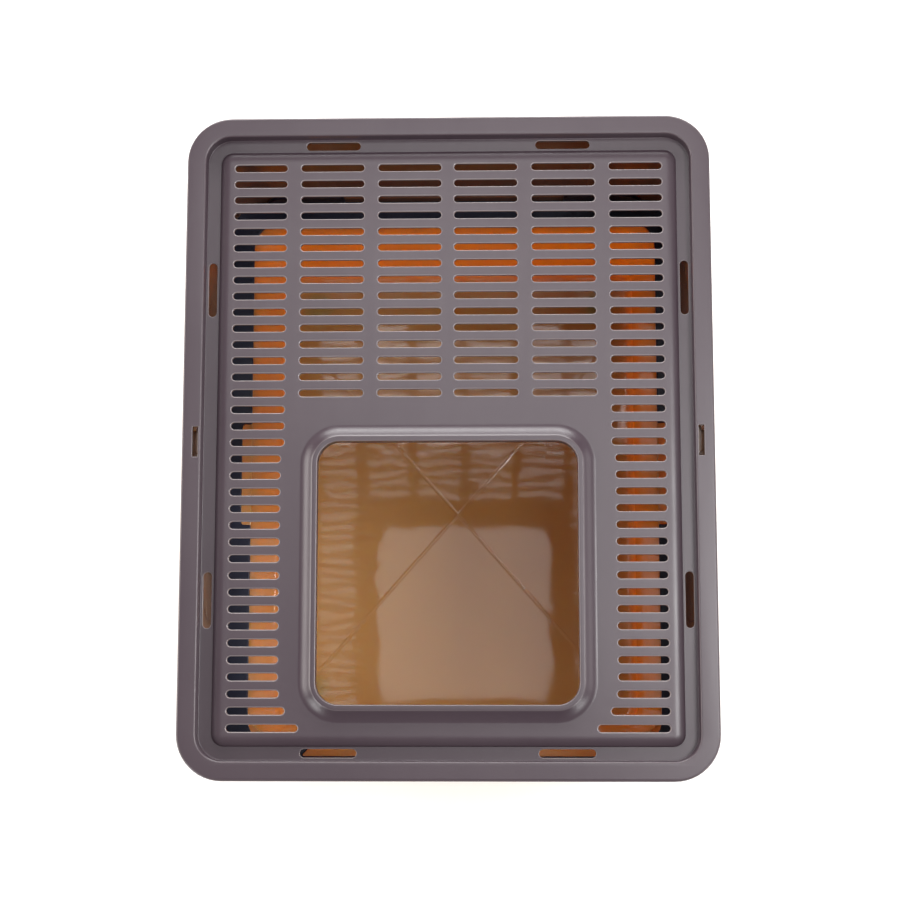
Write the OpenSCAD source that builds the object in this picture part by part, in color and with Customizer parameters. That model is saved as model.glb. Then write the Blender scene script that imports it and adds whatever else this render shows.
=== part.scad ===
// Top entry litter box for a cat.
// A deep pan stands on four pads. A ledge ring and a tall wall sit on the pan and are held by two latches.
// A slotted lid with a raised entry caps the wall.
// Millimetres. The origin is the centre of the base on the ground, +Z is up and the front faces -Y.

/* [Overall] */
// Width of the lid across its outer edge
lid_w = 410; // [390:1:450]
// Length of the lid from front to back
lid_l = 515.5; // [490:0.5:560]
// Height of the lid's flange above the ground
total_h = 370; // [340:1:420]
// Radius of the lid's outer corners
lid_corner_r = 35; // [32:1:42]

/* [Lid rim] */
// Width of the flat flange round the lid
flange_w = 15; // [14.5:0.1:17]
// Width of the groove between the flange and the plate
groove_w = 11; // [10:0.1:12]
// Depth of the groove below the flange
groove_d = 10; // [8.5:0.1:12]
// Depth of the slotted plate below the flange
plate_d = 6; // [4:0.1:7]
// Width over which the plate's edge rolls down to the groove
plate_roll_w = 8; // [5:0.1:8.5]
// Drop of that rolled edge
plate_roll_d = 2.2; // [1.5:0.1:2.4]
// Height of the skirt that hangs from the flange's outer edge
skirt_h = 18; // [14:0.5:26]
// Thickness of the lid
lid_t = 2.5; // [2:0.1:3]
// Radius of the flange's outer edge
flange_edge_r = 2; // [1:0.1:2.4]
// Radius of the flange's inner edge
flange_inner_r = 1; // [0.5:0.1:2]

/* [Lid windows] */
// Length of the round-ended windows in the groove
window_l = 43; // [30:0.5:50]
// Width of the round-ended windows in the groove
window_w = 6.5; // [4:0.1:7.5]
// Distance from the lid's middle to the centre of each front or back window
window_x = 90.5; // [60:0.5:110]
// Distance from the lid's middle to the centre of each side window
window_y = 121.5; // [90:0.5:150]
// Length of the small window in each side flange
catch_window_l = 23.6; // [16:0.1:30]
// Width of the small window in each side flange
catch_window_w = 4.8; // [3:0.1:5.2]
// Length of the locating tabs under the lid
tab_l = 38; // [20:0.5:60]
// Height of the locating tabs under the lid
tab_h = 8; // [5:0.5:12]

/* [Lid slots] */
// Distance from one row of slots to the next
slot_pitch = 12.85; // [11:0.05:16]
// Width of a slot
slot_w = 6; // [4:0.1:7.5]
// Length of the slots in the two outer columns
edge_slot_l = 42; // [34:0.5:50]
// Width of the bars between the columns
slot_bar = 10.5; // [7:0.1:14]
// Width of the bar in the middle of the plate
centre_bar = 9.4; // [7:0.1:14]
// Bare plate between its edge and the ends of the outer slots
slot_side_margin = 10.8; // [9:0.1:16]
// Least bare plate between its edge and the middle of the first row
slot_end_margin = 13.2; // [12.5:0.1:20]
// Least bare plate between the entry collar and a slot
slot_collar_margin = 15; // [10:0.1:22]

/* [Entry] */
// Width of the entry opening
entry_w = 200; // [180:1:215]
// Length of the entry opening
entry_l = 200.8; // [180:0.1:205]
// Radius of the entry opening's corners
entry_corner_r = 17; // [10:0.5:30]
// Distance from the lid's middle to the entry's back edge, towards the front
entry_back_y = 0; // [-8:0.5:8]
// Width of the flat lip round the entry
collar_lip_w = 4; // [3.5:0.1:6]
// Width of the slope outside the lip
collar_slope_w = 7; // [5:0.1:9]
// Width of the shallow foot where the slope meets the plate
collar_foot_w = 3; // [1.5:0.1:4]
// Height at which the foot meets the slope, above the plate
collar_foot_h = 0.9; // [0.5:0.1:1.5]
// Depth of the collar's inner face below its lip
collar_d = 11; // [9:0.5:16]

/* [Upper wall] */
// Gap from the lid's outer edge to the inner face of the side walls
wall_inset_x = 6; // [5.5:0.1:6.8]
// Gap from the lid's outer edge to the inner face of the front and back walls
wall_inset_y = 10.3; // [8:0.1:10.9]
// Thickness of the upper wall
wall_t = 2.5; // [2:0.1:2.8]
// Inner radius of the wall's corners
wall_corner_r = 28; // [22:0.5:32]
// Height of the rim that fills the lid's channel
rim_h = 6; // [4:0.5:10]
// Height of the bead under the lid's skirt
bead_h = 3.2; // [2:0.1:5]
// Set-back of the bead from the lid's outer edge
bead_inset = 0.5; // [0.2:0.1:1.5]
// Depth of each step in the embossed wall panels
emboss_d = 0.8; // [0.4:0.1:0.8]
// Half width of the embossed panel on the front and back walls
end_panel_half = 118; // [110:1:120]
// Half width of the arch in the front and back panels
arch_half = 104; // [60:1:106]
// Top of the arch below the lid's flange
arch_drop = 138; // [120:1:145]
// Half length of the embossed panel on the side walls
side_panel_half = 134; // [110:1:160]
// Radius of the side panels' corners
side_panel_r = 27; // [8:0.5:30]
// Top of the side panels below the lid's flange
side_panel_drop = 79; // [60:1:100]
// Radius of the end panels' corners
end_panel_r = 8; // [5:0.5:15]
// Radius of the arch's corners
arch_r = 20; // [10:0.5:25]
// Top of the front and back panels below the lid's flange
panel_drop = 27; // [24:0.5:40]

/* [Ledge ring] */
// Height of the ledge above the ground
ledge_z = 163; // [150:1:175]
// Thickness of the ledge
ledge_t = 4; // [3:0.1:6]
// Width of the ledge inside the walls
ledge_w = 19; // [16:0.5:22]
// Radius of the ledge's inner corners
ledge_corner_r = 23; // [19:0.5:28]
// Height of the outer edge that the wall stands in
upstand_h = 8; // [5:0.5:12]
// Thickness of that outer edge
upstand_t = 2.5; // [2:0.1:3]
// Length of the notch at each side of the ledge
notch_l = 90; // [60:1:120]
// Depth of the notch at each side of the ledge
notch_d = 8.5; // [5:0.1:11]
// Radius of the notch's corners
notch_r = 3; // [1:0.5:4.5]
// How far the ledge's front part is cut back, so that more of the pan is open below the entry
front_cut = 9; // [4:0.5:10]
// Bare ledge left in front of the window that is cut into its front part
front_bridge = 1; // [0.5:0.1:1.5]
// Half length of that window along the wall
front_window_half = 133; // [100:1:140]
// How much shorter that window is on its inner side, at each end
front_window_slant = 10; // [0:0.5:14]
// Distance from the middle to the near edge of each ledge tab
ledge_tab_x = 98; // [80:1:110]
// Width of each ledge tab
ledge_tab_w = 70; // [50:1:72]
// Height of each ledge tab
ledge_tab_h = 26; // [18:0.5:40]
// Thickness of each ledge tab
ledge_tab_t = 3; // [2:0.1:4]
// Radius of a tab's outer top corner
ledge_tab_outer_r = 24; // [9:0.5:26]
// Radius of a tab's inner top corner
ledge_tab_inner_r = 8; // [4:0.5:9]

/* [Pan] */
// Height of the pan's rim lip
pan_lip_h = 14; // [12:0.5:20]
// Thickness of the pan
pan_t = 2.5; // [2:0.1:3.5]
// Thickness of the pan's floor
pan_floor_t = 3; // [2.5:0.1:4]
// Inward lean of the pan's walls from rim to floor
pan_taper = 9; // [5:0.5:11]
// Radius where the walls meet the floor, inside
pan_floor_r = 8; // [4:0.5:10]
// Width of the crossed ridges on the floor
ridge_w = 4; // [3:0.5:10]
// Height of the crossed ridges on the floor
ridge_h = 0.5; // [0.4:0.1:2]
// How far in front of the middle of the floor the ridges cross
ridge_cross_y = 21; // [0:1:25]
// Angle between a ridge and the short side of the floor
ridge_angle = 48.5; // [46:0.5:52]
// Bare floor between the ridges' ends and the corner of the walls
ridge_margin = 14; // [12:1:30]

/* [Feet] */
// Radius of a foot pad
foot_r = 12; // [8:0.5:16]
// Height of the pan's underside above the ground
foot_h = 3; // [2:0.1:6]
// Depth of the pocket that holds each pad
foot_pocket_d = 1; // [0.6:0.1:1.2]
// Distance from the pan's inner rim to the centre of a pad
foot_inset = 42; // [38:1:60]

/* [Latches] */
// Width of each latch
latch_w = 48; // [36:1:60]
// Height of the latch pivot above the ledge
pivot_up = 33; // [28:1:40]
// Distance from the wall's outer face to the latch pivot
pivot_out = 8.4; // [7.8:0.1:10]
// Radius of the latch barrel
barrel_r = 5.2; // [4:0.1:5.4]
// Radius of the hinge pin
pin_r = 2; // [1.5:0.1:2.5]
// Radius of the pin's head
pin_head_r = 3.4; // [3:0.1:4]
// Thickness of the pin's head
pin_head_t = 1.6; // [1:0.1:3]
// Thickness of each hinge ear
ear_t = 5; // [4:0.1:8]
// Thickness of the latch arm
arm_t = 3; // [2:0.1:4]
// Length of the finger tip below the hook
finger_l = 14; // [8:0.5:20]
// How far the finger tip leans outwards
finger_out = 5; // [2:0.5:8]
// Thickness of the latch's hook at its tip
hook_t = 3.7; // [3:0.1:5]
// How far the lug stands out of the pan's lip
lug_out = 3.2; // [2:0.1:3.6]
// Height of the lug
lug_h = 10; // [8:0.5:12]
// Length of the lug along the pan
lug_l = 40; // [24:1:44]

/* [Wall catches] */
// Length of the catch under each side window
catch_l = 20; // [12:0.5:24]
// How far the catch stands out of the side wall
catch_out = 5.6; // [3:0.1:6]
// Height of the catch
catch_h = 16; // [10:0.5:20]
// Slope of the catch's top along the wall
catch_drop = 6; // [2:0.5:9]

/* [Clearances] */
// Gap between parts that slide past each other
slide_gap = 0.4; // [0.3:0.05:0.5]
// Gap between the latch hook and its lug
hook_gap = 0.5; // [0.35:0.05:0.8]
// Gap round the hinge pin in the latch
pin_gap = 0.06; // [0.03:0.01:0.1]
// Gap round the hinge pin in the ears
pin_seat_gap = 0.02; // [0.01:0.005:0.03]
// Gap between the latch's ends and the ears
ear_gap = 0.5; // [0.3:0.05:0.8]
// Gap round a foot pad in its pocket
foot_gap = 0.1; // [0.05:0.05:0.3]

/* [Hidden] */

$fn = 64;
// Steps of a rounded edge in a swept outline
edge_steps = 4;
// Extra length that carries a cut clear past a face
past = 1;

taupe = "#8a7d84";
amber = "#b4622a";
navy = "#1c1f30";
rubber_black = "#2a2a2c";
pin_grey = "#9a9a9e";

lid_half_x = lid_w / 2;
lid_half_y = lid_l / 2;
plate_half_x = lid_half_x - flange_w - groove_w;
plate_half_y = lid_half_y - flange_w - groove_w;
plate_z = total_h - plate_d;
groove_z = total_h - groove_d;
window_inset = flange_w + groove_w / 2;

wall_in_x = lid_half_x - wall_inset_x;
wall_in_y = lid_half_y - wall_inset_y;
wall_out_x = wall_in_x + wall_t;
wall_out_y = wall_in_y + wall_t;
wall_out_r = wall_corner_r + wall_t;
wall_top = total_h - lid_t;
panel_bottom = ledge_z + upstand_h + 4;

ledge_in_x = wall_in_x - ledge_w;
ledge_in_y = wall_in_y - ledge_w;
ledge_bottom = ledge_z - ledge_t;
upstand_in_x = wall_out_x + slide_gap;
upstand_in_y = wall_out_y + slide_gap;
upstand_in_r = wall_out_r + slide_gap;
upstand_out_x = upstand_in_x + upstand_t;
upstand_out_y = upstand_in_y + upstand_t;
upstand_out_r = upstand_in_r + upstand_t;

lip_bottom = ledge_bottom - pan_lip_h;
pan_floor_z = foot_h + pan_floor_t;

pivot_x = wall_out_x + pivot_out;
pivot_z = ledge_z + pivot_up;
ear_in_y = latch_w / 2 + ear_gap;
ear_out_y = ear_in_y + ear_t;
lug_bottom = lip_bottom + (pan_lip_h - lug_h) / 2;

entry_front_y = entry_back_y - entry_l;
entry_mid_y = entry_back_y - entry_l / 2;
collar_w = collar_lip_w + collar_slope_w + collar_foot_w;
slot_keep_out = collar_w + slot_collar_margin;
slot_rows = 1 + 2 * floor((plate_half_y - slot_end_margin) / slot_pitch);
edge_slot_end = plate_half_x - slot_side_margin;
edge_slot_start = edge_slot_end - edge_slot_l;
mid_slot_l = (edge_slot_start - slot_bar - centre_bar / 2 - slot_bar) / 2;

// Points on an arc round (x, y), from one angle to another
function arc(x, y, r, from, to) =
  [for (i = [0:edge_steps]) let (a = from + (to - from) * i / edge_steps) [x + r * cos(a), y + r * sin(a)]];

// How far from the middle line the slots must stay at one row, because of the collar's rounded corners
function collar_reach(y) =
  let (
    corner = entry_corner_r + slot_keep_out,
    back_y = entry_back_y - entry_corner_r,
    front_y = entry_front_y + entry_corner_r,
    off = max(y - back_y, front_y - y, 0)
  )
  off >= corner ? 0 : entry_w / 2 - entry_corner_r + sqrt(corner * corner - off * off);

// Whether a row runs past the collar at all
function row_clears_collar(y) =
  y - slot_w / 2 > entry_back_y + slot_keep_out || y + slot_w / 2 < entry_front_y - slot_keep_out;

// Flat rectangle with round corners, centred
module round_rect(half_x, half_y, r) {
  square([2 * half_x - 2 * r, 2 * half_y], center = true);
  square([2 * half_x, 2 * half_y - 2 * r], center = true);
  for (x = [-1, 1], y = [-1, 1])
    translate([x * (half_x - r), y * (half_y - r)]) circle(r);
}

// Flat band between two such rectangles
module round_band(out_x, out_y, out_r, in_x, in_y, in_r) {
  difference() {
    round_rect(out_x, out_y, out_r);
    round_rect(in_x, in_y, in_r);
  }
}

// Flat round-ended slot along X, from one end to the other
module slot_shape(x_from, x_to, w) {
  translate([x_from + w / 2, -w / 2]) square([x_to - x_from - w, w]);
  for (x = [x_from + w / 2, x_to - w / 2]) translate([x, 0]) circle(w / 2);
}

// Carries an outline round a rectangle whose corner centres lie at (half_x, half_y).
// In the outline, x is the distance out from those centres and y is the height.
module carry_round(half_x, half_y) {
  for (i = [0:3]) {
    corner_x = (i == 0 || i == 3) ? half_x : -half_x;
    corner_y = (i < 2) ? half_y : -half_y;
    side_half = (i % 2 == 0) ? half_y : half_x;
    side_out = (i % 2 == 0) ? half_x : half_y;
    translate([corner_x, corner_y, 0]) rotate(90 * i) rotate_extrude(angle = 90) children();
    rotate(90 * i) translate([side_out, 0, 0]) rotate([90, 0, 0])
      linear_extrude(2 * side_half, center = true) children();
  }
}

// Flange, groove and rolled plate edge of the lid, cut across
module lid_rim_outline() {
  r = lid_corner_r;
  in_edge = r - flange_w;
  groove_end = in_edge - groove_w;
  roll_end = groove_end - plate_roll_w;
  polygon(concat(
    [[r, -skirt_h]],
    arc(r - flange_edge_r, -flange_edge_r, flange_edge_r, 0, 90),
    arc(in_edge + flange_inner_r, -flange_inner_r, flange_inner_r, 90, 180),
    [
      [in_edge, -groove_d],
      [groove_end, -groove_d],
      [groove_end, -plate_d - plate_roll_d],
      [groove_end - plate_roll_w * 0.3, -plate_d - plate_roll_d * 0.42],
      [groove_end - plate_roll_w * 0.6, -plate_d - plate_roll_d * 0.12],
      [roll_end, -plate_d],
      [0, -plate_d],
      [0, -plate_d - lid_t],
      [groove_end - plate_roll_w / 2, -plate_d - lid_t],
      [groove_end - lid_t / 2, -groove_d - lid_t],
      [in_edge + lid_t - 0.5, -groove_d - lid_t],
      [in_edge + lid_t - 0.5, -lid_t],
      [r - lid_t, -lid_t],
      [r - lid_t, -skirt_h]
    ]
  ));
}

// Raised lip and slope round the entry, cut across
module collar_outline() {
  r = entry_corner_r;
  lip_r = 0.8;
  slope_foot = r + collar_lip_w + collar_slope_w;
  polygon(concat(
    [[r, -collar_d]],
    arc(r + lip_r, -lip_r, lip_r, 180, 90),
    [
      [r + collar_lip_w, 0],
      [slope_foot, -plate_d + collar_foot_h],
      [slope_foot + collar_foot_w, -plate_d],
      [slope_foot + collar_foot_w, -plate_d - lid_t],
      [slope_foot - collar_foot_h, -plate_d - lid_t],
      [r + collar_lip_w - 0.6, -lid_t],
      [r + lid_t, -lid_t],
      [r + lid_t, -collar_d]
    ]
  ));
}

// All slots of the plate, flat
module slot_field() {
  half_rows = (slot_rows - 1) / 2;
  for (row = [-half_rows:half_rows]) {
    y = -row * slot_pitch;
    in_front = y + slot_w / 2 < entry_back_y;
    reach = collar_reach(y);
    edge_from = in_front ? reach : max(edge_slot_start, reach);
    for (side = [0, 1]) mirror([side, 0]) translate([0, y]) {
      slot_shape(edge_from, edge_slot_end, slot_w);
      if (row_clears_collar(y)) for (i = [0, 1]) {
        from = centre_bar / 2 + i * (mid_slot_l + slot_bar);
        if (!in_front) slot_shape(from, from + mid_slot_l, slot_w);
      }
    }
  }
}

// Round-ended windows in the groove, flat
module groove_windows() {
  for (x = [-1, 1], y = [-1, 1]) {
    translate([x * window_x, y * (lid_half_y - window_inset)])
      slot_shape(-window_l / 2, window_l / 2, window_w);
    translate([x * (lid_half_x - window_inset), y * window_y]) rotate(90)
      slot_shape(-window_l / 2, window_l / 2, window_w);
  }
}

module lid_tray() {
  channel_x = lid_half_x - flange_w + lid_t - 0.5;
  channel_y = lid_half_y - flange_w + lid_t - 0.5;
  catch_window_x = channel_x + catch_window_w / 2;
  tab_t = lid_t;
  roll_inset = flange_w + groove_w + plate_roll_w;
  fill_x = lid_half_x - roll_inset;
  fill_y = lid_half_y - roll_inset;
  entry_x = entry_w / 2;
  entry_y = entry_l / 2;
  color(taupe) {
    difference() {
      union() {
        translate([0, 0, total_h])
          carry_round(lid_half_x - lid_corner_r, lid_half_y - lid_corner_r) lid_rim_outline();
        translate([0, 0, plate_z - lid_t]) linear_extrude(lid_t) difference() {
          square([2 * fill_x, 2 * fill_y], center = true);
          translate([0, entry_mid_y])
            round_rect(entry_x + collar_w - 1, entry_y + collar_w - 1, entry_corner_r + collar_w - 1);
        }
        translate([0, entry_mid_y, total_h])
          carry_round(entry_x - entry_corner_r, entry_y - entry_corner_r) collar_outline();
        for (x = [-1, 1], y = [-1, 1]) {
          translate([x * window_x - tab_l / 2, y * channel_y - tab_t * (y + 1) / 2, groove_z - lid_t - tab_h])
            cube([tab_l, tab_t, tab_h + lid_t / 2]);
          translate([x * channel_x - tab_t * (x + 1) / 2, y * window_y - tab_l / 2, groove_z - lid_t - tab_h])
            cube([tab_t, tab_l, tab_h + lid_t / 2]);
        }
      }
      translate([0, 0, plate_z - lid_t - past]) linear_extrude(lid_t + 2 * past) slot_field();
      translate([0, 0, groove_z - lid_t - past]) linear_extrude(lid_t + 2 * past) groove_windows();
      for (x = [-1, 1])
        translate([x * catch_window_x - catch_window_w / 2, -catch_window_l / 2, total_h - lid_t - past])
          cube([catch_window_w, catch_window_l, lid_t + 2 * past]);
    }
  }
}

// Wall panel drawn flat: X along the wall, Y up
module panel_shape(half, bottom, top, r) {
  translate([0, (bottom + top) / 2]) round_rect(half, (top - bottom) / 2, r);
}

// Stands a flat drawing up against the wall on one side, with its face at distance out
module on_wall(side, out, t) {
  rotate(90 * side) translate([0, -out, 0]) rotate([90, 0, 0]) linear_extrude(t) children();
}

module end_panel() {
  panel_shape(end_panel_half, panel_bottom, total_h - panel_drop, end_panel_r);
}

module end_arch() {
  panel_shape(arch_half, panel_bottom, total_h - arch_drop, arch_r);
}

module side_panel() {
  panel_shape(side_panel_half, panel_bottom, total_h - side_panel_drop, side_panel_r);
}

// Two ears that carry the hinge pin of the right latch
module hinge_ears() {
  for (y = [-ear_out_y, ear_in_y]) translate([0, y, 0]) difference() {
    union() {
      translate([pivot_x, 0, pivot_z]) rotate([-90, 0, 0]) cylinder(h = ear_t, r = barrel_r);
      translate([wall_out_x - wall_t / 2, 0, pivot_z - barrel_r])
        cube([pivot_out + wall_t / 2, ear_t, 2 * barrel_r]);
    }
    translate([pivot_x, -past, pivot_z]) rotate([-90, 0, 0])
      cylinder(h = ear_t + 2 * past, r = pin_r + pin_seat_gap);
  }
}

// Catch inside the right wall, below the lid's small window
module wall_catch() {
  top = wall_top - 1;
  translate([wall_in_x - catch_out, 0, 0]) rotate([90, 0, 90]) linear_extrude(catch_out + wall_t / 2)
    polygon([
      [-catch_l / 2, top - catch_h],
      [catch_l / 2, top - catch_h],
      [catch_l / 2, top],
      [-catch_l / 2 + catch_drop, top],
      [-catch_l / 2, top - catch_drop]
    ]);
}

module upper_shell() {
  bead_top = total_h - skirt_h - slide_gap;
  rim_out_x = lid_half_x - lid_t - slide_gap;
  rim_out_y = lid_half_y - lid_t - slide_gap;
  rim_out_r = lid_corner_r - lid_t - slide_gap;
  color(amber) {
    difference() {
      union() {
        translate([0, 0, ledge_z]) linear_extrude(wall_top - ledge_z)
          round_rect(wall_out_x, wall_out_y, wall_out_r);
        translate([0, 0, wall_top - rim_h]) linear_extrude(rim_h)
          round_rect(rim_out_x, rim_out_y, rim_out_r);
        translate([0, 0, bead_top - bead_h]) linear_extrude(bead_h)
          round_rect(lid_half_x - bead_inset, lid_half_y - bead_inset, lid_corner_r - bead_inset);
        for (side = [0, 2]) {
          on_wall(side, wall_out_y - emboss_d, 2 * emboss_d) end_panel();
          on_wall(side, wall_out_y - emboss_d, 3 * emboss_d) end_arch();
        }
        for (side = [1, 3]) on_wall(side, wall_out_x - emboss_d, 2 * emboss_d) side_panel();
      }
      translate([0, 0, ledge_z - past]) linear_extrude(wall_top - ledge_z + 2 * past)
        round_rect(wall_in_x, wall_in_y, wall_corner_r);
      for (side = [0, 2]) {
        on_wall(side, wall_in_y - past, past + emboss_d) end_panel();
        on_wall(side, wall_in_y - past, past + 2 * emboss_d) end_arch();
      }
      for (side = [1, 3]) on_wall(side, wall_in_x - past, past + emboss_d) side_panel();
    }
    for (side = [0, 1]) mirror([side, 0, 0]) {
      hinge_ears();
      wall_catch();
    }
  }
}

// Tab that rises from the ledge against the wall, drawn flat: X along the wall, Y up
module ledge_tab_shape() {
  w = ledge_tab_w;
  h = ledge_tab_h;
  translate([ledge_tab_x, 0]) {
    square([w, h - ledge_tab_outer_r]);
    translate([ledge_tab_inner_r, 0]) square([w - ledge_tab_inner_r - ledge_tab_outer_r, h]);
    square([w - ledge_tab_outer_r, h - ledge_tab_inner_r]);
    translate([ledge_tab_inner_r, h - ledge_tab_inner_r]) circle(ledge_tab_inner_r);
    intersection() {
      translate([w - ledge_tab_outer_r, h - ledge_tab_outer_r]) circle(ledge_tab_outer_r);
      square([w, h]);
    }
  }
}

// Opening inside the ledge: the pan's outline, a notch at each side and the cut-back front
module ledge_opening() {
  front_y = ledge_in_y + front_cut;
  window_y = wall_in_y - front_bridge;
  translate([0, -front_cut / 2]) round_rect(ledge_in_x, ledge_in_y + front_cut / 2, ledge_corner_r);
  round_rect(ledge_in_x + notch_d, notch_l / 2, notch_r);
  polygon([
    [-front_window_half, -window_y],
    [front_window_half, -window_y],
    [front_window_half - front_window_slant, -front_y + past],
    [front_window_slant - front_window_half, -front_y + past]
  ]);
}

module ledge_ring() {
  tab_face = wall_in_y - slide_gap - ledge_tab_t;
  color(navy) {
    translate([0, 0, ledge_bottom]) linear_extrude(ledge_t) difference() {
      round_rect(upstand_out_x, upstand_out_y, upstand_out_r);
      ledge_opening();
    }
    translate([0, 0, ledge_bottom]) linear_extrude(ledge_t + upstand_h)
      round_band(upstand_out_x, upstand_out_y, upstand_out_r, upstand_in_x, upstand_in_y, upstand_in_r);
    for (flip = [0, 1])
      translate([0, 0, ledge_z]) rotate(180) mirror([flip, 0, 0])
        on_wall(0, tab_face, ledge_tab_t) ledge_tab_shape();
  }
}

// Pan wall and the edge of its floor, cut across
module pan_wall_outline() {
  r = ledge_corner_r;
  foot = r - pan_taper;
  out_r = pan_floor_r + pan_t;
  lean = atan(pan_taper / (ledge_bottom - pan_floor_z));
  polygon(concat(
    [[r, ledge_bottom]],
    arc(foot - pan_floor_r, pan_floor_z + pan_floor_r, pan_floor_r, -lean, -90),
    [[0, pan_floor_z], [0, foot_h]],
    arc(foot - pan_floor_r, foot_h + out_r, out_r, -90, -lean),
    [[r + pan_t, ledge_bottom]]
  ));
}

// Lug on the right side of the pan's lip, under which the latch hooks
module pan_lug() {
  translate([0, lug_l / 2, 0]) rotate([90, 0, 0]) linear_extrude(lug_l)
    polygon([
      [upstand_out_x - upstand_t / 2, lug_bottom],
      [upstand_out_x, lug_bottom],
      [upstand_out_x + lug_out, lug_bottom + lug_out],
      [upstand_out_x + lug_out, lug_bottom + lug_h - 1],
      [upstand_out_x + lug_out - 1, lug_bottom + lug_h],
      [upstand_out_x - upstand_t / 2, lug_bottom + lug_h]
    ]);
}

// Two ridges that cross a little in front of the middle of the floor and run towards its corners
module floor_ridges() {
  reach_x = ledge_in_x - pan_taper - pan_floor_r - ridge_margin;
  reach_y = ledge_in_y - pan_taper - pan_floor_r - ridge_margin;
  reach = min(reach_x / cos(ridge_angle), (reach_y - ridge_cross_y) / sin(ridge_angle));
  for (side = [-1, 1])
    translate([0, -ridge_cross_y, pan_floor_z - pan_floor_t / 2]) rotate(side * ridge_angle)
      linear_extrude(pan_floor_t / 2 + ridge_h) slot_shape(-reach, reach, ridge_w);
}

module litter_pan() {
  foot_x = ledge_in_x - foot_inset;
  foot_y = ledge_in_y - foot_inset;
  rim_t = pan_t + 0.5;
  color(amber) {
    difference() {
      union() {
        carry_round(ledge_in_x - ledge_corner_r, ledge_in_y - ledge_corner_r) pan_wall_outline();
        translate([0, 0, foot_h]) linear_extrude(pan_floor_t)
          square([2 * (ledge_in_x - ledge_corner_r) + 2, 2 * (ledge_in_y - ledge_corner_r) + 2], center = true);
        floor_ridges();
      }
      for (x = [-1, 1], y = [-1, 1]) translate([x * foot_x, y * foot_y, foot_h - past])
        cylinder(h = past + foot_pocket_d, r = foot_r + foot_gap);
    }
    translate([0, 0, ledge_bottom - rim_t]) linear_extrude(rim_t)
      round_band(
        upstand_out_x, upstand_out_y, upstand_out_r,
        ledge_in_x + pan_t / 2, ledge_in_y + pan_t / 2, ledge_corner_r + pan_t / 2
      );
    translate([0, 0, lip_bottom]) linear_extrude(pan_lip_h)
      round_band(
        upstand_out_x, upstand_out_y, upstand_out_r,
        upstand_out_x - pan_t, upstand_out_y - pan_t, upstand_out_r - pan_t
      );
    for (side = [0, 1]) mirror([side, 0, 0]) pan_lug();
  }
}

// Rubber pad in one corner; x and y are 1 or -1
module foot_pad(x, y) {
  foot_x = ledge_in_x - foot_inset;
  foot_y = ledge_in_y - foot_inset;
  edge = 0.8;
  color(rubber_black) translate([x * foot_x, y * foot_y, 0]) rotate_extrude()
    polygon([[0, 0], [foot_r - edge, 0], [foot_r, edge], [foot_r, foot_h + foot_pocket_d], [0, foot_h + foot_pocket_d]]);
}

// Latch on the right side, closed
module latch() {
  arm_in = barrel_r - arm_t;
  tip = upstand_out_x + slide_gap - pivot_x;
  // Top of the hook at its tip, parallel to the lug's sloping face
  hook_top = lug_bottom + slide_gap - hook_gap * sqrt(2) - pivot_z;
  hook_root_top = hook_top + arm_in - tip;
  hook_bottom = hook_top - hook_t;
  difference() {
    union() {
      rotate([90, 0, 0]) cylinder(h = latch_w, r = barrel_r, center = true);
      rotate([90, 0, 0]) linear_extrude(latch_w, center = true) polygon([
        [arm_in, 0],
        [arm_in, hook_root_top],
        [tip, hook_top],
        [tip, hook_bottom],
        [arm_in, hook_bottom - 1],
        [arm_in + finger_out, hook_bottom - finger_l],
        [arm_in + arm_t + finger_out, hook_bottom - finger_l],
        [arm_in + arm_t, hook_bottom - 1],
        [arm_in + arm_t, 0]
      ]);
    }
    rotate([90, 0, 0]) cylinder(h = latch_w + 2 * past, r = pin_r + pin_gap, center = true);
  }
}

module latch_right() {
  color(navy) translate([pivot_x, 0, pivot_z]) latch();
}

module latch_left() {
  color(navy) mirror([1, 0, 0]) translate([pivot_x, 0, pivot_z]) latch();
}

// Pin through the ears and the latch barrel, with a head in front
module hinge_pin() {
  color(pin_grey) translate([pivot_x, -ear_out_y, pivot_z]) rotate([-90, 0, 0]) {
    cylinder(h = 2 * ear_out_y, r = pin_r);
    translate([0, 0, -pin_head_t]) cylinder(h = pin_head_t, r = pin_head_r);
  }
}

module latch_pin_right() {
  hinge_pin();
}

module latch_pin_left() {
  mirror([1, 0, 0]) hinge_pin();
}

litter_pan();
foot_pad(-1, -1);  // foot_front_left
foot_pad(1, -1);  // foot_front_right
foot_pad(-1, 1);  // foot_back_left
foot_pad(1, 1);  // foot_back_right
ledge_ring();
upper_shell();
latch_left();
latch_right();
latch_pin_left();
latch_pin_right();
lid_tray();
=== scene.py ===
# %% [markdown]
# # A top entry litter box
#
# This lesson dresses a litter box whose construction already exists. The box is a few thin plastic
# mouldings: a pan, a dark ledge ring, a tall wall with two latches, and a slotted lid. Thin mouldings look
# real when every edge is a small radius and when light gets a little way into the plastic, so most cells
# here are about edges and finish.

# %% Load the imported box
import math

import bmesh
import bpy
from mathutils import Matrix, Vector, geometry


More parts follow.
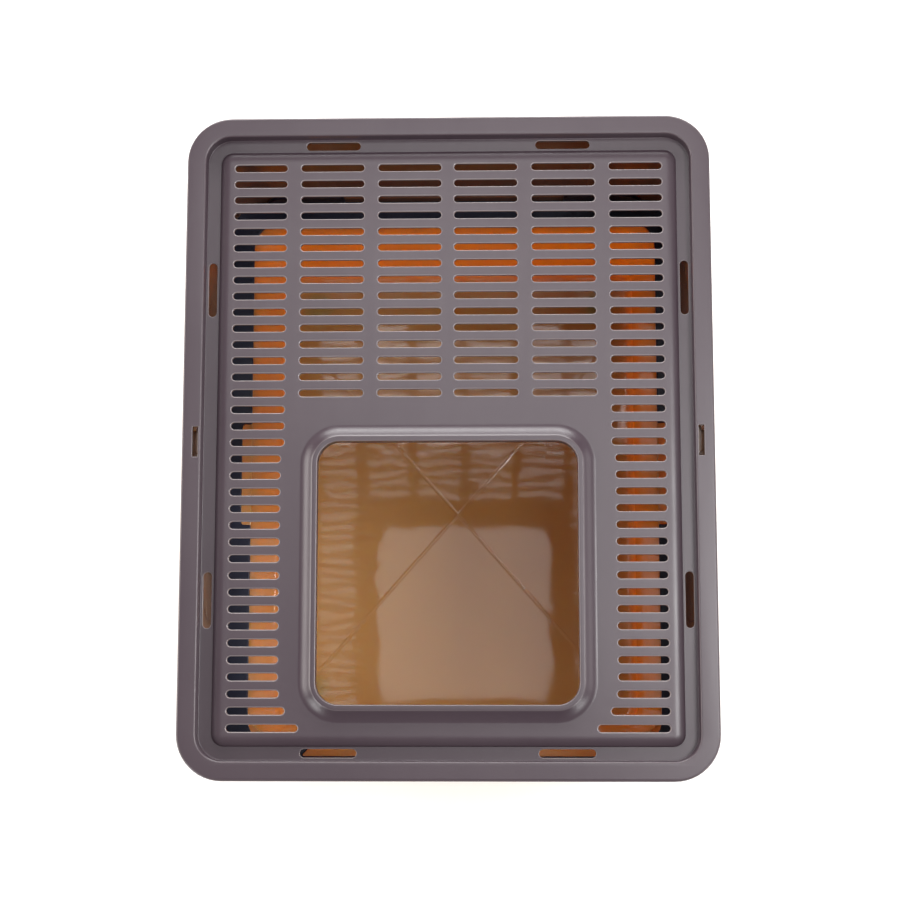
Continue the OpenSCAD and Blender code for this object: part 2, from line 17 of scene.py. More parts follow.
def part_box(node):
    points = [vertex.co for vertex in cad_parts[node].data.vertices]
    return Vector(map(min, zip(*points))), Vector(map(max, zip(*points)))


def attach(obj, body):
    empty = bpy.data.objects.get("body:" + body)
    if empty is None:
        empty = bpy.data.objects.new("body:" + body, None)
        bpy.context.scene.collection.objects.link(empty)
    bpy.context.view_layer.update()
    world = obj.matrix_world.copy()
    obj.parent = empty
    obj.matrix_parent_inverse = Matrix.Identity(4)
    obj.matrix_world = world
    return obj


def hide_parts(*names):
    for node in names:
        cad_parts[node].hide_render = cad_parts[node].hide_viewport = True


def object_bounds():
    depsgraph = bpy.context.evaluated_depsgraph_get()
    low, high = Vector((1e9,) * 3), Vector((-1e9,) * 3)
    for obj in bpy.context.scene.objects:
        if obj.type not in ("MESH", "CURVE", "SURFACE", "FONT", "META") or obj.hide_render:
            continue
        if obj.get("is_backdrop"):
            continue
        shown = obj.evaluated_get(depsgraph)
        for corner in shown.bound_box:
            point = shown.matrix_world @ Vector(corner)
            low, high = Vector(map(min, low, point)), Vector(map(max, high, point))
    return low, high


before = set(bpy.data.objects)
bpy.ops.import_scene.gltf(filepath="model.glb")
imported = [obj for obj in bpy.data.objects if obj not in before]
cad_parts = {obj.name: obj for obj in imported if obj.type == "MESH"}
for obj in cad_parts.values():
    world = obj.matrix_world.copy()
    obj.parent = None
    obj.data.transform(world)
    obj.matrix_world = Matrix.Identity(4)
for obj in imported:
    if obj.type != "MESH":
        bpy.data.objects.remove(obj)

cad_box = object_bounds()
MM = 0.001
print("nodes:", sorted(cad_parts))

# %% [markdown]
# ## The camera
#
# The photograph looks almost straight down, from 19 cm in front of the middle and 4 cm to the right. The
# even pitch of the slot rows gives the lean, and the outline of the lid gives the rest. The camera comes
# first, because every later choice of detail depends on what it can see. There are no cords on this object.

# %% Place the camera
CAMERA_X = 0.0379
CAMERA_Y = -0.1904
CAMERA_ABOVE_LID = 1.3386
CAMERA_LEAN_BACK = 7.787
CAMERA_LEAN_SIDE = 1.534
CAMERA_ROLL = 0.016
PICTURE_SIDE = 900
FOCAL_IN_PIXELS = 1762
SENSOR = 36.0

lid_low, lid_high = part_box("lid_tray")
camera_data = bpy.data.cameras.new("camera")
camera_data.sensor_width = SENSOR
camera_data.lens = SENSOR * FOCAL_IN_PIXELS / PICTURE_SIDE
camera = bpy.data.objects.new("camera", camera_data)
camera.location = (CAMERA_X, CAMERA_Y, lid_high.z + CAMERA_ABOVE_LID)
camera.rotation_euler = [math.radians(a) for a in (CAMERA_LEAN_BACK, CAMERA_LEAN_SIDE, CAMERA_ROLL)]
bpy.context.scene.collection.objects.link(camera)
bpy.context.scene.camera = camera
print("camera at", [round(v, 3) for v in camera.location], "lens", round(camera_data.lens, 1), "mm")

# %% [markdown]
# ## Outlines
#
# Almost every outline on the box is a rectangle with round corners. One function walks round such a
# rectangle and always returns the same number of points, so that two outlines at different heights can be
# joined one to one. A second function moves any closed outline outwards, which is what a rounded edge needs.

# %% Outline helpers
CORNER_STEPS = 12


def round_loop(half_x, half_y, radius, z, mid_y=0.0, steps=CORNER_STEPS):
    """Points anticlockwise round a rectangle with round corners."""
    points = []
    for corner, (side_x, side_y) in enumerate(((1, 1), (-1, 1), (-1, -1), (1, -1))):
        for i in range(steps + 1):
            angle = math.pi / 2 * (corner + i / steps)
            x = side_x * (half_x - radius) + radius * math.cos(angle)
            y = mid_y + side_y * (half_y - radius) + radius * math.sin(angle)
            points.append((x, y, z))
    return points


def slot_outline(x_from, x_to, y, width, steps=8):
    """Flat round-ended slot along X."""
    r = width / 2
    points = []
    for i in range(steps + 1):
        angle = -math.pi / 2 + math.pi * i / steps
        points.append((x_to - r + r * math.cos(angle), y + r * math.sin(angle)))
    for i in range(steps + 1):
        angle = math.pi / 2 + math.pi * i / steps
        points.append((x_from + r + r * math.cos(angle), y + r * math.sin(angle)))
    return points


def rect_outline(x_from, x_to, y_from, y_to, radius, steps=4):
    """Flat rectangle with round corners, from its edges."""
    mid_x, mid_y = (x_from + x_to) / 2, (y_from + y_to) / 2
    loop = round_loop((x_to - x_from) / 2, (y_to - y_from) / 2, radius, 0, mid_y, steps)
    return [(x + mid_x, y) for x, y, _ in loop]


def grown(outline, distance):
    """The same flat outline, moved outwards by distance."""
    moved = []
    count = len(outline)
    for i, (x, y) in enumerate(outline):
        before, after = outline[i - 1], outline[(i + 1) % count]
        a = Vector((x - before[0], y - before[1]))
        b = Vector((after[0] - x, after[1] - y))
        a = a.normalized() if a.length > 1e-9 else b.normalized()
        b = b.normalized() if b.length > 1e-9 else a
        normal = Vector((a.y + b.y, -a.x - b.x)).normalized()
        spread = max(0.4, normal.dot(Vector((a.y, -a.x))))
        moved.append((x + normal.x * distance / spread, y + normal.y * distance / spread))
    return moved


print("a slot outline has", len(slot_outline(0, 1, 0, 0.2)), "points")

# %% [markdown]
# ## Skins
#
# A moulding is one closed skin. It can be built from rings of points joined by strips of four-sided faces,
# and closed by flat caps that have holes where slots and windows pass. Building it this way, rather than
# cutting holes with a boolean, keeps every edge clean, so each hole can have a true rounded rim.


# %% Skin helpers
def ring(mesh, points):
    """New vertices for one closed outline."""
    return [mesh.verts.new(p) for p in points]


def bridge(mesh, ring_a, ring_b):
    """A strip of faces between two rings of the same length."""
    count = len(ring_a)
    for i in range(count):
        j = (i + 1) % count
        mesh.faces.new((ring_a[i], ring_a[j], ring_b[j], ring_b[i]))


# The tessellator merges points that are closer than a few hundredths of a unit, and it can fold a face where
# many points lie on one straight line. So it gets a much enlarged copy of the outlines. If the area of its
# faces is wrong, the copy is turned a little and tried again.
ENLARGED = 200 / MM
TURNS = (0, 0.2, 0.5, 0.8, 1.2, 1.7, 2.1, 2.6)


def flat_area(corners):
    pairs = zip(corners, corners[1:] + corners[:1])
    return abs(sum(a.co.x * b.co.y - b.co.x * a.co.y for a, b in pairs)) / 2


def cap(mesh, outer, holes=()):
    """A flat face inside the outer ring, with holes. Returns how far its area is off, as a share."""
    rings = [outer, *holes]
    corners = [v for r in rings for v in r]
    goal = flat_area(outer) - sum(flat_area(r) for r in holes)
    best, least = [], math.inf
    for turn in TURNS:
        spin = Matrix.Rotation(turn, 4, "Z")
        copies = [[spin @ Vector((v.co.x, v.co.y, 0)) * ENLARGED for v in r] for r in rings]
        trios = [[corners[i] for i in t] for t in geometry.tessellate_polygon(copies) if len(set(t)) == 3]
        miss = abs(sum(flat_area(trio) for trio in trios) / goal - 1)
        if miss < least and len({frozenset(trio) for trio in trios}) == len(trios):
            best, least = trios, miss
        if least < 1e-5:
            break
    for trio in best:
        mesh.faces.new(trio)
    return least


def hole(mesh, outline, top, bottom, top_radius, bottom_radius, steps=4, draft=0.0):
    """The wall of a hole with rounded rims, narrower below by the draft. Returns its rings, top first."""
    rings = []
    for i in range(steps + 1):
        angle = math.pi / 2 * i / steps
        grow = top_radius * (1 - math.sin(angle))
        z = top - top_radius * (1 - math.cos(angle))
        rings.append(ring(mesh, [(x, y, z) for x, y in grown(outline, grow)]))
    for grow, z in ((-draft, bottom + bottom_radius), (bottom_radius - draft, bottom)):
        rings.append(ring(mesh, [(x, y, z) for x, y in grown(outline, grow)]))
    for a, b in zip(rings, rings[1:]):
        bridge(mesh, a, b)
    return rings


def slab(mesh, outline, bottom, top, radius, place=None, holes=(), steps=3):
    """A closed plate with rounded edges, drawn flat and then put in place by a matrix."""
    first = len(mesh.verts)
    levels = []
    for i in range(steps + 1):
        angle = math.pi / 2 * i / steps
        levels.append((-radius * (1 - math.sin(angle)), bottom + radius * (1 - math.cos(angle))))
    levels += [(grow, bottom + top - z) for grow, z in reversed(levels)]
    rings = [ring(mesh, [(x, y, z) for x, y in grown(outline, grow)]) for grow, z in levels]
    for a, b in zip(rings, rings[1:]):
        bridge(mesh, a, b)
    tops, bottoms = [], []
    for cut in holes:
        wall = [ring(mesh, [(x, y, z) for x, y in grown(cut, -grow)]) for grow, z in levels]
        for a, b in zip(wall, wall[1:]):
            bridge(mesh, a, b)
        bottoms.append(wall[0])
        tops.append(wall[-1])
    cap(mesh, rings[-1], tops)
    cap(mesh, rings[0], bottoms)
    if place is not None:
        mesh.verts.ensure_lookup_table()
        bmesh.ops.transform(mesh, matrix=place, verts=mesh.verts[first:])


def lathe(mesh, profile, place, steps=48):
    """A closed turned shape. The profile is (radius, height), from the axis and back to it."""
    first = len(mesh.verts)
    low, high = profile[0][1], profile[-1][1]
    rings = []
    for r, z in profile[1:-1]:
        rings.append(ring(mesh, [
            (r * math.cos(2 * math.pi * i / steps), r * math.sin(2 * math.pi * i / steps), z)
            for i in range(steps)
        ]))
    for a, b in zip(rings, rings[1:]):
        bridge(mesh, a, b)
    for end, z in ((rings[0], low), (rings[-1], high)):
        tip = mesh.verts.new((0, 0, z))
        for i in range(steps):
            mesh.faces.new((end[i], end[(i + 1) % steps], tip))
    mesh.verts.ensure_lookup_table()
    bmesh.ops.transform(mesh, matrix=place, verts=mesh.verts[first:])


# %% [markdown]
# ## From skin to piece
#
# A finished skin becomes an object with smooth faces, sharp only where two faces really meet at an angle.
# Weighted normals let the big flat faces win over the thin rounded rims, so a flat plate stays flat in its
# reflections. The piece then rides on the body that carries it and stands for its node of the construction.

# %% Piece helper
SHARP_ANGLE = math.radians(38)


def make_piece(mesh, name, body, nodes, material):
    bmesh.ops.recalc_face_normals(mesh, faces=mesh.faces)
    for edge in mesh.edges:
        edge.smooth = len(edge.link_faces) == 2 and edge.calc_face_angle(0) < SHARP_ANGLE
    for face in mesh.faces:
        face.smooth = True
    data = bpy.data.meshes.new(name)
    mesh.to_mesh(data)
    mesh.free()
    piece = bpy.data.objects.new(name, data)
    bpy.context.scene.collection.objects.link(piece)
    data.materials.append(material)
    weighted = piece.modifiers.new("weighted normals", "WEIGHTED_NORMAL")
    weighted.keep_sharp = True
    weighted.weight = 100
    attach(piece, body)
    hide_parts(*nodes)
    print(f"{name}: {len(data.polygons)} faces on {body}")
    return piece


# %% [markdown]
# ## Node helpers for the finishes
#
# Each finish is one Principled shader. A few noise textures in the piece's own coordinates change its colour,
# roughness and bump a little, at the scale of the real surface: a spark-eroded grain of a few tenths of a
# millimetre, and slow cloudy changes over centimetres.


# %% Material helpers
def new_material(name):
    material = bpy.data.materials.new(name)
    material.use_nodes = True
    tree = material.node_tree
    shader = tree.nodes["Principled BSDF"]
    coordinates = tree.nodes.new("ShaderNodeTexCoord")
    return material, tree, shader, coordinates.outputs["Object"]


def noise(tree, vector, scale, detail=3.0, stretch=(1, 1, 1), roughness=0.5):
    """Noise with that many features to the metre."""
    mapping = tree.nodes.new("ShaderNodeMapping")
    mapping.inputs["Scale"].default_value = [scale * s for s in stretch]
    tree.links.new(vector, mapping.inputs["Vector"])
    texture = tree.nodes.new("ShaderNodeTexNoise")
    texture.inputs["Scale"].default_value = 1.0
    texture.inputs["Detail"].default_value = detail
    texture.inputs["Roughness"].default_value = roughness
    tree.links.new(mapping.outputs["Vector"], texture.inputs["Vector"])
    return texture.outputs["Fac"]


def spread(tree, value, low, high, out_low, out_high):
    """Maps low..high of a value to out_low..out_high."""
    node = tree.nodes.new("ShaderNodeMapRange")
    node.inputs["From Min"].default_value = low
    node.inputs["From Max"].default_value = high
    node.inputs["To Min"].default_value = out_low
    node.inputs["To Max"].default_value = out_high
    tree.links.new(value, node.inputs["Value"])
    return node.outputs["Result"]


def mixed_colour(tree, factor, dark, light):
    node = tree.nodes.new("ShaderNodeMix")
    node.data_type = "RGBA"
    node.inputs["A"].default_value = (*dark, 1)
    node.inputs["B"].default_value = (*light, 1)
    tree.links.new(factor, node.inputs["Factor"])
    return node.outputs["Result"]


def painted_over(tree, factor, below, colour):
    """A second colour laid over a mixed one."""
    node = tree.nodes.new("ShaderNodeMix")
    node.data_type = "RGBA"
    tree.links.new(below, node.inputs["A"])
    node.inputs["B"].default_value = (*colour, 1)
    tree.links.new(factor, node.inputs["Factor"])
    return node.outputs["Result"]


def add_bump(tree, shader, heights):
    """Chains bumps; each is (height output, depth in metres)."""
    normal = None
    for height, depth in heights:
        bump = tree.nodes.new("ShaderNodeBump")
        bump.inputs["Strength"].default_value = 1.0
        bump.inputs["Distance"].default_value = depth
        tree.links.new(height, bump.inputs["Height"])
        if normal is not None:
            tree.links.new(normal, bump.inputs["Normal"])
        normal = bump.outputs["Normal"]
    tree.links.new(normal, shader.inputs["Normal"])


# %% [markdown]
# ## Lid plastic
#
# The lid is a warm grey polypropylene with a slight mauve cast and a satin grain. Polypropylene is never
# quite even: it has faint clouds where the melt flowed, and handling leaves fine rubbed streaks. The colour
# change is kept under a few percent, because more would look dirty. The edges of the slots, of the entry and
# of the flange are smoother, and a lighter colour is painted on them: a painted highlight that stands in
# for the thin lines of light these rims catch. The mesh says where these edges are, in a value stored on
# its points, and the finish reads that value.


# %% Lid plastic
# Name of the value on the mesh's points that marks the rims which get a painted highlight
PAINTED_RIM_HIGHLIGHT = "painted_rim_highlight"


def lid_plastic():
    material, tree, shader, place = new_material("lid_plastic")
    clouds = noise(tree, place, 9, detail=4)
    flow = noise(tree, place, 30, detail=2, stretch=(1, 0.25, 1))
    grain = noise(tree, place, 2600, detail=2)
    wear_and_highlight = noise(tree, place, 260, detail=5, stretch=(1, 0.08, 1), roughness=0.7)
    cloudy = spread(tree, clouds, 0.3, 0.7, 0, 1)
    colour = mixed_colour(tree, cloudy, (0.046, 0.030, 0.039), (0.053, 0.036, 0.045))
    # Rims marked on the mesh get a lighter colour painted over them, a painted highlight for the thin lines
    # of light they catch; they are also smoother
    edge = tree.nodes.new("ShaderNodeAttribute")
    edge.attribute_name = PAINTED_RIM_HIGHLIGHT
    colour = painted_over(tree, edge.outputs["Fac"], colour, (0.20, 0.172, 0.174))
    tree.links.new(colour, shader.inputs["Base Color"])
    satin = spread(tree, wear_and_highlight, 0.25, 0.75, 0.30, 0.38)
    rim_roughness = spread(tree, edge.outputs["Fac"], 0, 1, 0.3, 0.2)
    tree.links.new(satin, rim_roughness.node.inputs["To Min"])
    tree.links.new(rim_roughness, shader.inputs["Roughness"])
    shader.inputs["IOR"].default_value = 1.5
    shader.inputs["Specular IOR Level"].default_value = 0.5
    add_bump(tree, shader, [(grain, 0.00002), (flow, 0.00004)])
    return material


lid_finish = lid_plastic()
print("made", lid_finish.name)

# %% [markdown]
# ## Amber plastic
#
# The wall and the pan are a glossy orange-brown plastic that lets light through: inside the box the walls
# glow orange although little light comes through the lid. Real light transport through a thin wall needs
# subsurface scattering, with a long reach for red and a short one for blue. The pan is smoother than the
# wall, so it mirrors the slots of the lid.


# %% Amber plastic
def amber_plastic(name, dark, light, rough_low, rough_high, scatter, reach, wave):
    material, tree, shader, place = new_material(name)
    clouds = noise(tree, place, 7, detail=3)
    streaks = noise(tree, place, 60, detail=3, stretch=(1, 1, 0.2))
    smears = noise(tree, place, 90, detail=5, roughness=0.65)
    ripple = noise(tree, place, 30, detail=1)
    grain = noise(tree, place, 1800, detail=2)
    colour = mixed_colour(tree, spread(tree, clouds, 0.3, 0.7, 0, 1), dark, light)
    tree.links.new(colour, shader.inputs["Base Color"])
    tree.links.new(spread(tree, smears, 0.3, 0.7, rough_low, rough_high), shader.inputs["Roughness"])
    shader.inputs["IOR"].default_value = 1.5
    shader.inputs["Subsurface Weight"].default_value = scatter
    shader.inputs["Subsurface Radius"].default_value = (1.0, 0.68, 0.32)
    shader.inputs["Subsurface Scale"].default_value = reach
    add_bump(tree, shader, [(ripple, wave), (streaks, wave * 0.06), (grain, 0.000004)])
    return material


wall_finish = amber_plastic(
    "wall_plastic", (0.25, 0.128, 0.080), (0.275, 0.142, 0.090), 0.18, 0.24, 0.4, 0.0055, 0.0001
)
pan_finish = amber_plastic(
    "pan_plastic", (0.58, 0.34, 0.135), (0.62, 0.365, 0.145), 0.04, 0.07, 0.8, 0.0098, 0.00028
)
print("made", wall_finish.name, "and", pan_finish.name)

# %% [markdown]
# ## Dark plastic, rubber and steel
#
# The ledge ring and the latches are a blue-black plastic with a fine grain. The pads are matt rubber with a
# dusty bloom, and the hinge pins are plain drawn wire, whose fine scratches run along the pin.


# %% Dark plastic, rubber and steel
def dark_plastic():
    material, tree, shader, place = new_material("dark_plastic")
    clouds = noise(tree, place, 14, detail=4)
    grain = noise(tree, place, 2200, detail=2)
    wear_and_highlight = noise(tree, place, 200, detail=5, roughness=0.7)
    cloudy = spread(tree, clouds, 0.3, 0.7, 0, 1)
    colour = mixed_colour(tree, cloudy, (0.0135, 0.0165, 0.040), (0.021, 0.025, 0.056))
    tree.links.new(colour, shader.inputs["Base Color"])
    tree.links.new(spread(tree, wear_and_highlight, 0.25, 0.75, 0.34, 0.48), shader.inputs["Roughness"])
    add_bump(tree, shader, [(grain, 0.00003)])
    return material


def pad_rubber():
    material, tree, shader, place = new_material("pad_rubber")
    dust = noise(tree, place, 120, detail=6, roughness=0.7)
    grain = noise(tree, place, 1500, detail=3)
    bloom = spread(tree, dust, 0.35, 0.75, 0, 1)
    colour = mixed_colour(tree, bloom, (0.020, 0.020, 0.022), (0.055, 0.053, 0.050))
    tree.links.new(colour, shader.inputs["Base Color"])
    tree.links.new(spread(tree, dust, 0.3, 0.7, 0.75, 0.92), shader.inputs["Roughness"])
    add_bump(tree, shader, [(grain, 0.00005)])
    return material


def pin_steel():
    material, tree, shader, place = new_material("pin_steel")
    scratches = noise(tree, place, 1800, detail=4, stretch=(1, 0.03, 1))
    tarnish = noise(tree, place, 220, detail=4)
    colour = mixed_colour(tree, spread(tree, tarnish, 0.3, 0.7, 0, 1), (0.46, 0.45, 0.44), (0.60, 0.60, 0.60))
    tree.links.new(colour, shader.inputs["Base Color"])
    tree.links.new(spread(tree, scratches, 0.3, 0.7, 0.22, 0.42), shader.inputs["Roughness"])
    shader.inputs["Metallic"].default_value = 1.0
    add_bump(tree, shader, [(scratches, 0.000012)])
    return material


dark_finish, rubber_finish, steel_finish = dark_plastic(), pad_rubber(), pin_steel()
print("made", dark_finish.name, rubber_finish.name, steel_finish.name)

# %% [markdown]
# ## The lid
#
# The lid is one moulding: a flat flange with a skirt, a groove that catches litter, a slotted plate that
# sits a little lower than the flange, and a raised collar round the entry. From the camera it fills the
# picture, so its rings are placed at the true radii. The sizes below are the lid's own section, read from
# the flange inwards.

# %% Lid sizes
FLANGE_W = 15 * MM
GROOVE_W = 11 * MM
GROOVE_D = 10 * MM
PLATE_D = 6 * MM
ROLL_W = 8 * MM
ROLL_D = 2.2 * MM
LID_T = 2.5 * MM
LID_CORNER_R = 35 * MM
FLANGE_EDGE_R = 2 * MM
FLANGE_INNER_R = 1.5 * MM
ENTRY_W = 200 * MM
ENTRY_L = 200.8 * MM
ENTRY_R = 17 * MM
LIP_W = 4 * MM
SLOPE_W = 10 * MM
COLLAR_D = 11 * MM

lid_half_x = (lid_high.x - lid_low.x) / 2
lid_half_y = (lid_high.y - lid_low.y) / 2
lid_top = lid_high.z
skirt_bottom = min(lid_top - 18 * MM, lid_low.z + 2.5 * MM)
entry_mid_y = -ENTRY_L / 2
print("lid half sizes", round(lid_half_x, 4), round(lid_half_y, 4))

# %% [markdown]
# The slots follow one rule. They fill the plate in rows, the bars between the columns have a fixed width,
# and every slot stops 15 mm short of the collar, measured round its corners. That one distance gives the
# curved front ends of the rows beside the entry.

# %% Slot layout
SLOT_PITCH = 12.85 * MM
SLOT_W = 6 * MM
EDGE_SLOT_L = 42 * MM
SLOT_BAR = 10.5 * MM
CENTRE_BAR = 9.4 * MM
SLOT_SIDE_MARGIN = 10.8 * MM
SLOT_ROWS = 35
COLLAR_KEEP_OUT = LIP_W + SLOPE_W + 15 * MM

plate_half_x = lid_half_x - FLANGE_W - GROOVE_W
edge_slot_end = plate_half_x - SLOT_SIDE_MARGIN
edge_slot_start = edge_slot_end - EDGE_SLOT_L
mid_slot_l = (edge_slot_start - 2 * SLOT_BAR - CENTRE_BAR / 2) / 2


def collar_reach(y):
    """How far from the middle a slot at this row must stay."""
    corner = ENTRY_R + COLLAR_KEEP_OUT
    off = max(y + ENTRY_R, -ENTRY_L + ENTRY_R - y, 0)
    if off >= corner:
        return 0
    return ENTRY_W / 2 - ENTRY_R + math.sqrt(corner * corner - off * off)


def slot_spans():
    """(x from, x to, y) of every slot."""
    spans = []
    for row in range(SLOT_ROWS):
        y = (SLOT_ROWS // 2 - row) * SLOT_PITCH
        in_front = y + SLOT_W / 2 < 0
        start = collar_reach(y) if in_front else max(edge_slot_start, collar_reach(y))
        halves = [(start, edge_slot_end)]
        if y - SLOT_W / 2 > COLLAR_KEEP_OUT:
            for i in (0, 1):
                x = CENTRE_BAR / 2 + i * (mid_slot_l + SLOT_BAR)
                halves.append((x, x + mid_slot_l))
        for x_from, x_to in halves:
            spans += [(x_from, x_to, y), (-x_to, -x_from, y)]
    return spans


print("slots:", len(slot_spans()))

# %% [markdown]
# Each slot has a rounded upper rim 0.85 mm wide. From above those rims are the light lines round the slots:
# the rims are real geometry, and their lighter colour is a painted highlight on top. The windows in the
# groove and the two small ones in the flange get the same treatment.

# %% Lid rings and holes
RIM_R = 0.85 * MM
UNDER_R = 0.3 * MM
SLOT_IN = 0.25 * MM
SLOT_DRAFT = 0.1 * MM
WINDOW_L = 43 * MM
WINDOW_W = 6.5 * MM
WINDOW_X = 90.5 * MM
WINDOW_Y = 121.5 * MM
CATCH_WINDOW_L = 23.6 * MM
CATCH_WINDOW_W = 4.4 * MM
CATCH_WINDOW_RIM = 0.45 * MM
CATCH_WINDOW_IN = 0.4 * MM


def lid_loop(inset, depth):
    """Ring of the lid's outline at that distance in from its edge and that depth below its top."""
    radius = max(LID_CORNER_R - inset, 0.4 * MM)
    return round_loop(lid_half_x - inset, lid_half_y - inset, radius, lid_top - depth)


def collar_loop(outset, depth):
    """Ring round the entry at that distance out from its edge."""
    half_x, half_y = ENTRY_W / 2 + outset, ENTRY_L / 2 + outset
    return round_loop(half_x, half_y, ENTRY_R + outset, lid_top - depth, entry_mid_y)


def paint_rim_highlight(mesh, rings, amount):
    """Marks rings of points for the painted rim highlight, at that strength."""
    layer = mesh.verts.layers.float[PAINTED_RIM_HIGHLIGHT]
    for points in rings:
        for point in points:
            point[layer] = amount


def quarter(from_inset, from_depth, to_inset, to_depth, steps=4, flip=False):
    """Points of a quarter round between two corners of a section."""
    points = []
    for i in range(steps + 1):
        angle = math.pi / 2 * i / steps
        a, b = (1 - math.cos(angle), math.sin(angle)) if flip else (math.sin(angle), 1 - math.cos(angle))
        points.append((from_inset + (to_inset - from_inset) * a, from_depth + (to_depth - from_depth) * b))
    return points


def turned(outline):
    """The same outline, turned a quarter so that its X runs along Y."""
    return [(-y, x) for x, y in outline]


def moved(outline, x, y):
    return [(px + x, py + y) for px, py in outline]


print("a groove window is", WINDOW_L * 1000, "x", WINDOW_W * 1000, "mm")

# %% Build the lid
lid = bmesh.new()
lid.verts.layers.float.new(PAINTED_RIM_HIGHLIGHT)
skirt = lid_top - skirt_bottom
# The flange's outer and inner edges get a faint painted highlight
FLANGE_PAINTED_HIGHLIGHT = 0.18


def lid_strip(section, wear_and_highlight=()):
    """Rings along a section, joined in order; the listed ones get a painted highlight. Returns the first and
    the last.
    """
    rings = [ring(lid, lid_loop(inset, depth)) for inset, depth in section]
    for a, b in zip(rings, rings[1:]):
        bridge(lid, a, b)
    paint_rim_highlight(lid, [rings[i] for i in wear_and_highlight], FLANGE_PAINTED_HIGHLIGHT)
    return rings[0], rings[-1]


skirt_low, flange_out = lid_strip(
    [(0, skirt)] + quarter(0, FLANGE_EDGE_R, FLANGE_EDGE_R, 0, flip=True), (2, 3, 4)
)
flange_in, groove_out = lid_strip(
    quarter(FLANGE_W - FLANGE_INNER_R, 0, FLANGE_W, FLANGE_INNER_R)
    + quarter(FLANGE_W, GROOVE_D - 0.8 * MM, FLANGE_W + 0.8 * MM, GROOVE_D, flip=True),
    (1, 2),
)
groove_end = FLANGE_W + GROOVE_W
roll_section = [
    (groove_end - 0.5 * MM, GROOVE_D),
    (groove_end - 0.1 * MM, GROOVE_D - 0.35 * MM),
    (groove_end, GROOVE_D - 0.8 * MM),
    (groove_end, PLATE_D + ROLL_D + 0.5 * MM),
]
ROLL_STEPS = 8
for i in range(ROLL_STEPS + 1):
    t = i / ROLL_STEPS
    inset = groove_end + 0.25 * MM + (ROLL_W - 0.25 * MM) * t
    roll_section.append((inset, PLATE_D + ROLL_D * (1 - t) ** 2.2))
groove_in, plate_out = lid_strip(roll_section)

channel = FLANGE_W - LID_T + 0.5 * MM
under_skirt_in, under_flange_out = lid_strip([(LID_T, skirt), (LID_T, LID_T)])
under_flange_in, under_groove_out = lid_strip([(channel, LID_T), (channel, GROOVE_D + LID_T)])
under_groove_in, under_plate_out = lid_strip(
    [(groove_end + LID_T / 2, GROOVE_D + LID_T), (groove_end + ROLL_W / 2, PLATE_D + LID_T)]
)
bridge(lid, skirt_low, under_skirt_in)
print("rim skin:", len(lid.faces), "faces")

# %% [markdown]
# The collar is a second set of rings round the entry. Its outer side climbs out of the plate in a soft
# hollow curve, which is the bright band round the entry on three sides. On top is a flat lip, and the lip's
# two edges are small rounds that catch thin lines of light, with a painted highlight laid on them as well.

# %% Collar of the lid
SLOPE_STEPS = 12
collar_section = []
for i in range(SLOPE_STEPS):
    t = i / SLOPE_STEPS
    collar_section.append((LIP_W + SLOPE_W * (1 - t), PLATE_D * (1 - t ** 1.6)))
lip_outer = len(collar_section)
collar_section += [(LIP_W + 0.25 * MM, 0.42 * MM), (LIP_W - 0.1 * MM, 0.13 * MM), (LIP_W - 0.6 * MM, 0)]
lip_inner = len(collar_section)
collar_section += quarter(0.8 * MM, 0, 0, 0.8 * MM)
collar_section += [
    (0, COLLAR_D - 0.4 * MM),
    (0.4 * MM, COLLAR_D),
    (LID_T - 0.4 * MM, COLLAR_D),
    (LID_T, COLLAR_D - 0.4 * MM),
    (LID_T, LID_T),
    (LIP_W - 0.6 * MM, LID_T),
    (LIP_W + SLOPE_W - 1.5 * MM, PLATE_D + LID_T),
]
collar_rings = [ring(lid, collar_loop(outset, depth)) for outset, depth in collar_section]
for ring_a, ring_b in zip(collar_rings, collar_rings[1:]):
    bridge(lid, ring_a, ring_b)
# The lip's two edges get a painted highlight, stronger on the inner edge
paint_rim_highlight(lid, collar_rings[lip_outer:lip_outer + 2], 0.3)
paint_rim_highlight(lid, collar_rings[lip_inner + 1:lip_inner + 4], 0.7)
print("collar rings:", len(collar_rings))

# %% Holes of the lid
plate_top = lid_top - PLATE_D
plate_holes = []
for x_from, x_to, y in slot_spans():
    slot = grown(slot_outline(x_from, x_to, y, SLOT_W), -SLOT_IN)
    plate_holes.append(hole(lid, slot, plate_top, plate_top - LID_T, RIM_R, UNDER_R, draft=SLOT_DRAFT))
window = slot_outline(-WINDOW_L / 2, WINDOW_L / 2, 0, WINDOW_W)
window_inset = FLANGE_W + GROOVE_W / 2
groove_holes = []
for side_x in (-1, 1):
    for side_y in (-1, 1):
        for outline in (
            moved(window, side_x * WINDOW_X, side_y * (lid_half_y - window_inset)),
            moved(turned(window), side_x * (lid_half_x - window_inset), side_y * WINDOW_Y),
        ):
            top = lid_top - GROOVE_D
            groove_holes.append(hole(lid, outline, top, top - LID_T, 0.5 * MM, UNDER_R))
catch_x = lid_half_x - channel + CATCH_WINDOW_IN + CATCH_WINDOW_W / 2
flange_holes = []
for side_x in (-1, 1):
    outline = rect_outline(
        -CATCH_WINDOW_W / 2, CATCH_WINDOW_W / 2, -CATCH_WINDOW_L / 2, CATCH_WINDOW_L / 2, 0.5 * MM
    )
    outline = moved(outline, side_x * catch_x, 0)
    flange_holes.append(hole(lid, outline, lid_top, lid_top - LID_T, CATCH_WINDOW_RIM, UNDER_R))
# Every slot and window rim gets the full painted highlight
for rings in plate_holes + groove_holes + flange_holes:
    paint_rim_highlight(lid, rings[1:4], 1.0)
print("holes:", len(plate_holes) + len(groove_holes) + len(flange_holes))

# %% [markdown]
# Last come the flat faces between the rings, each with its own holes, and the tabs under the groove that
# guide the lid inside the wall. Then the lid is a single closed skin.

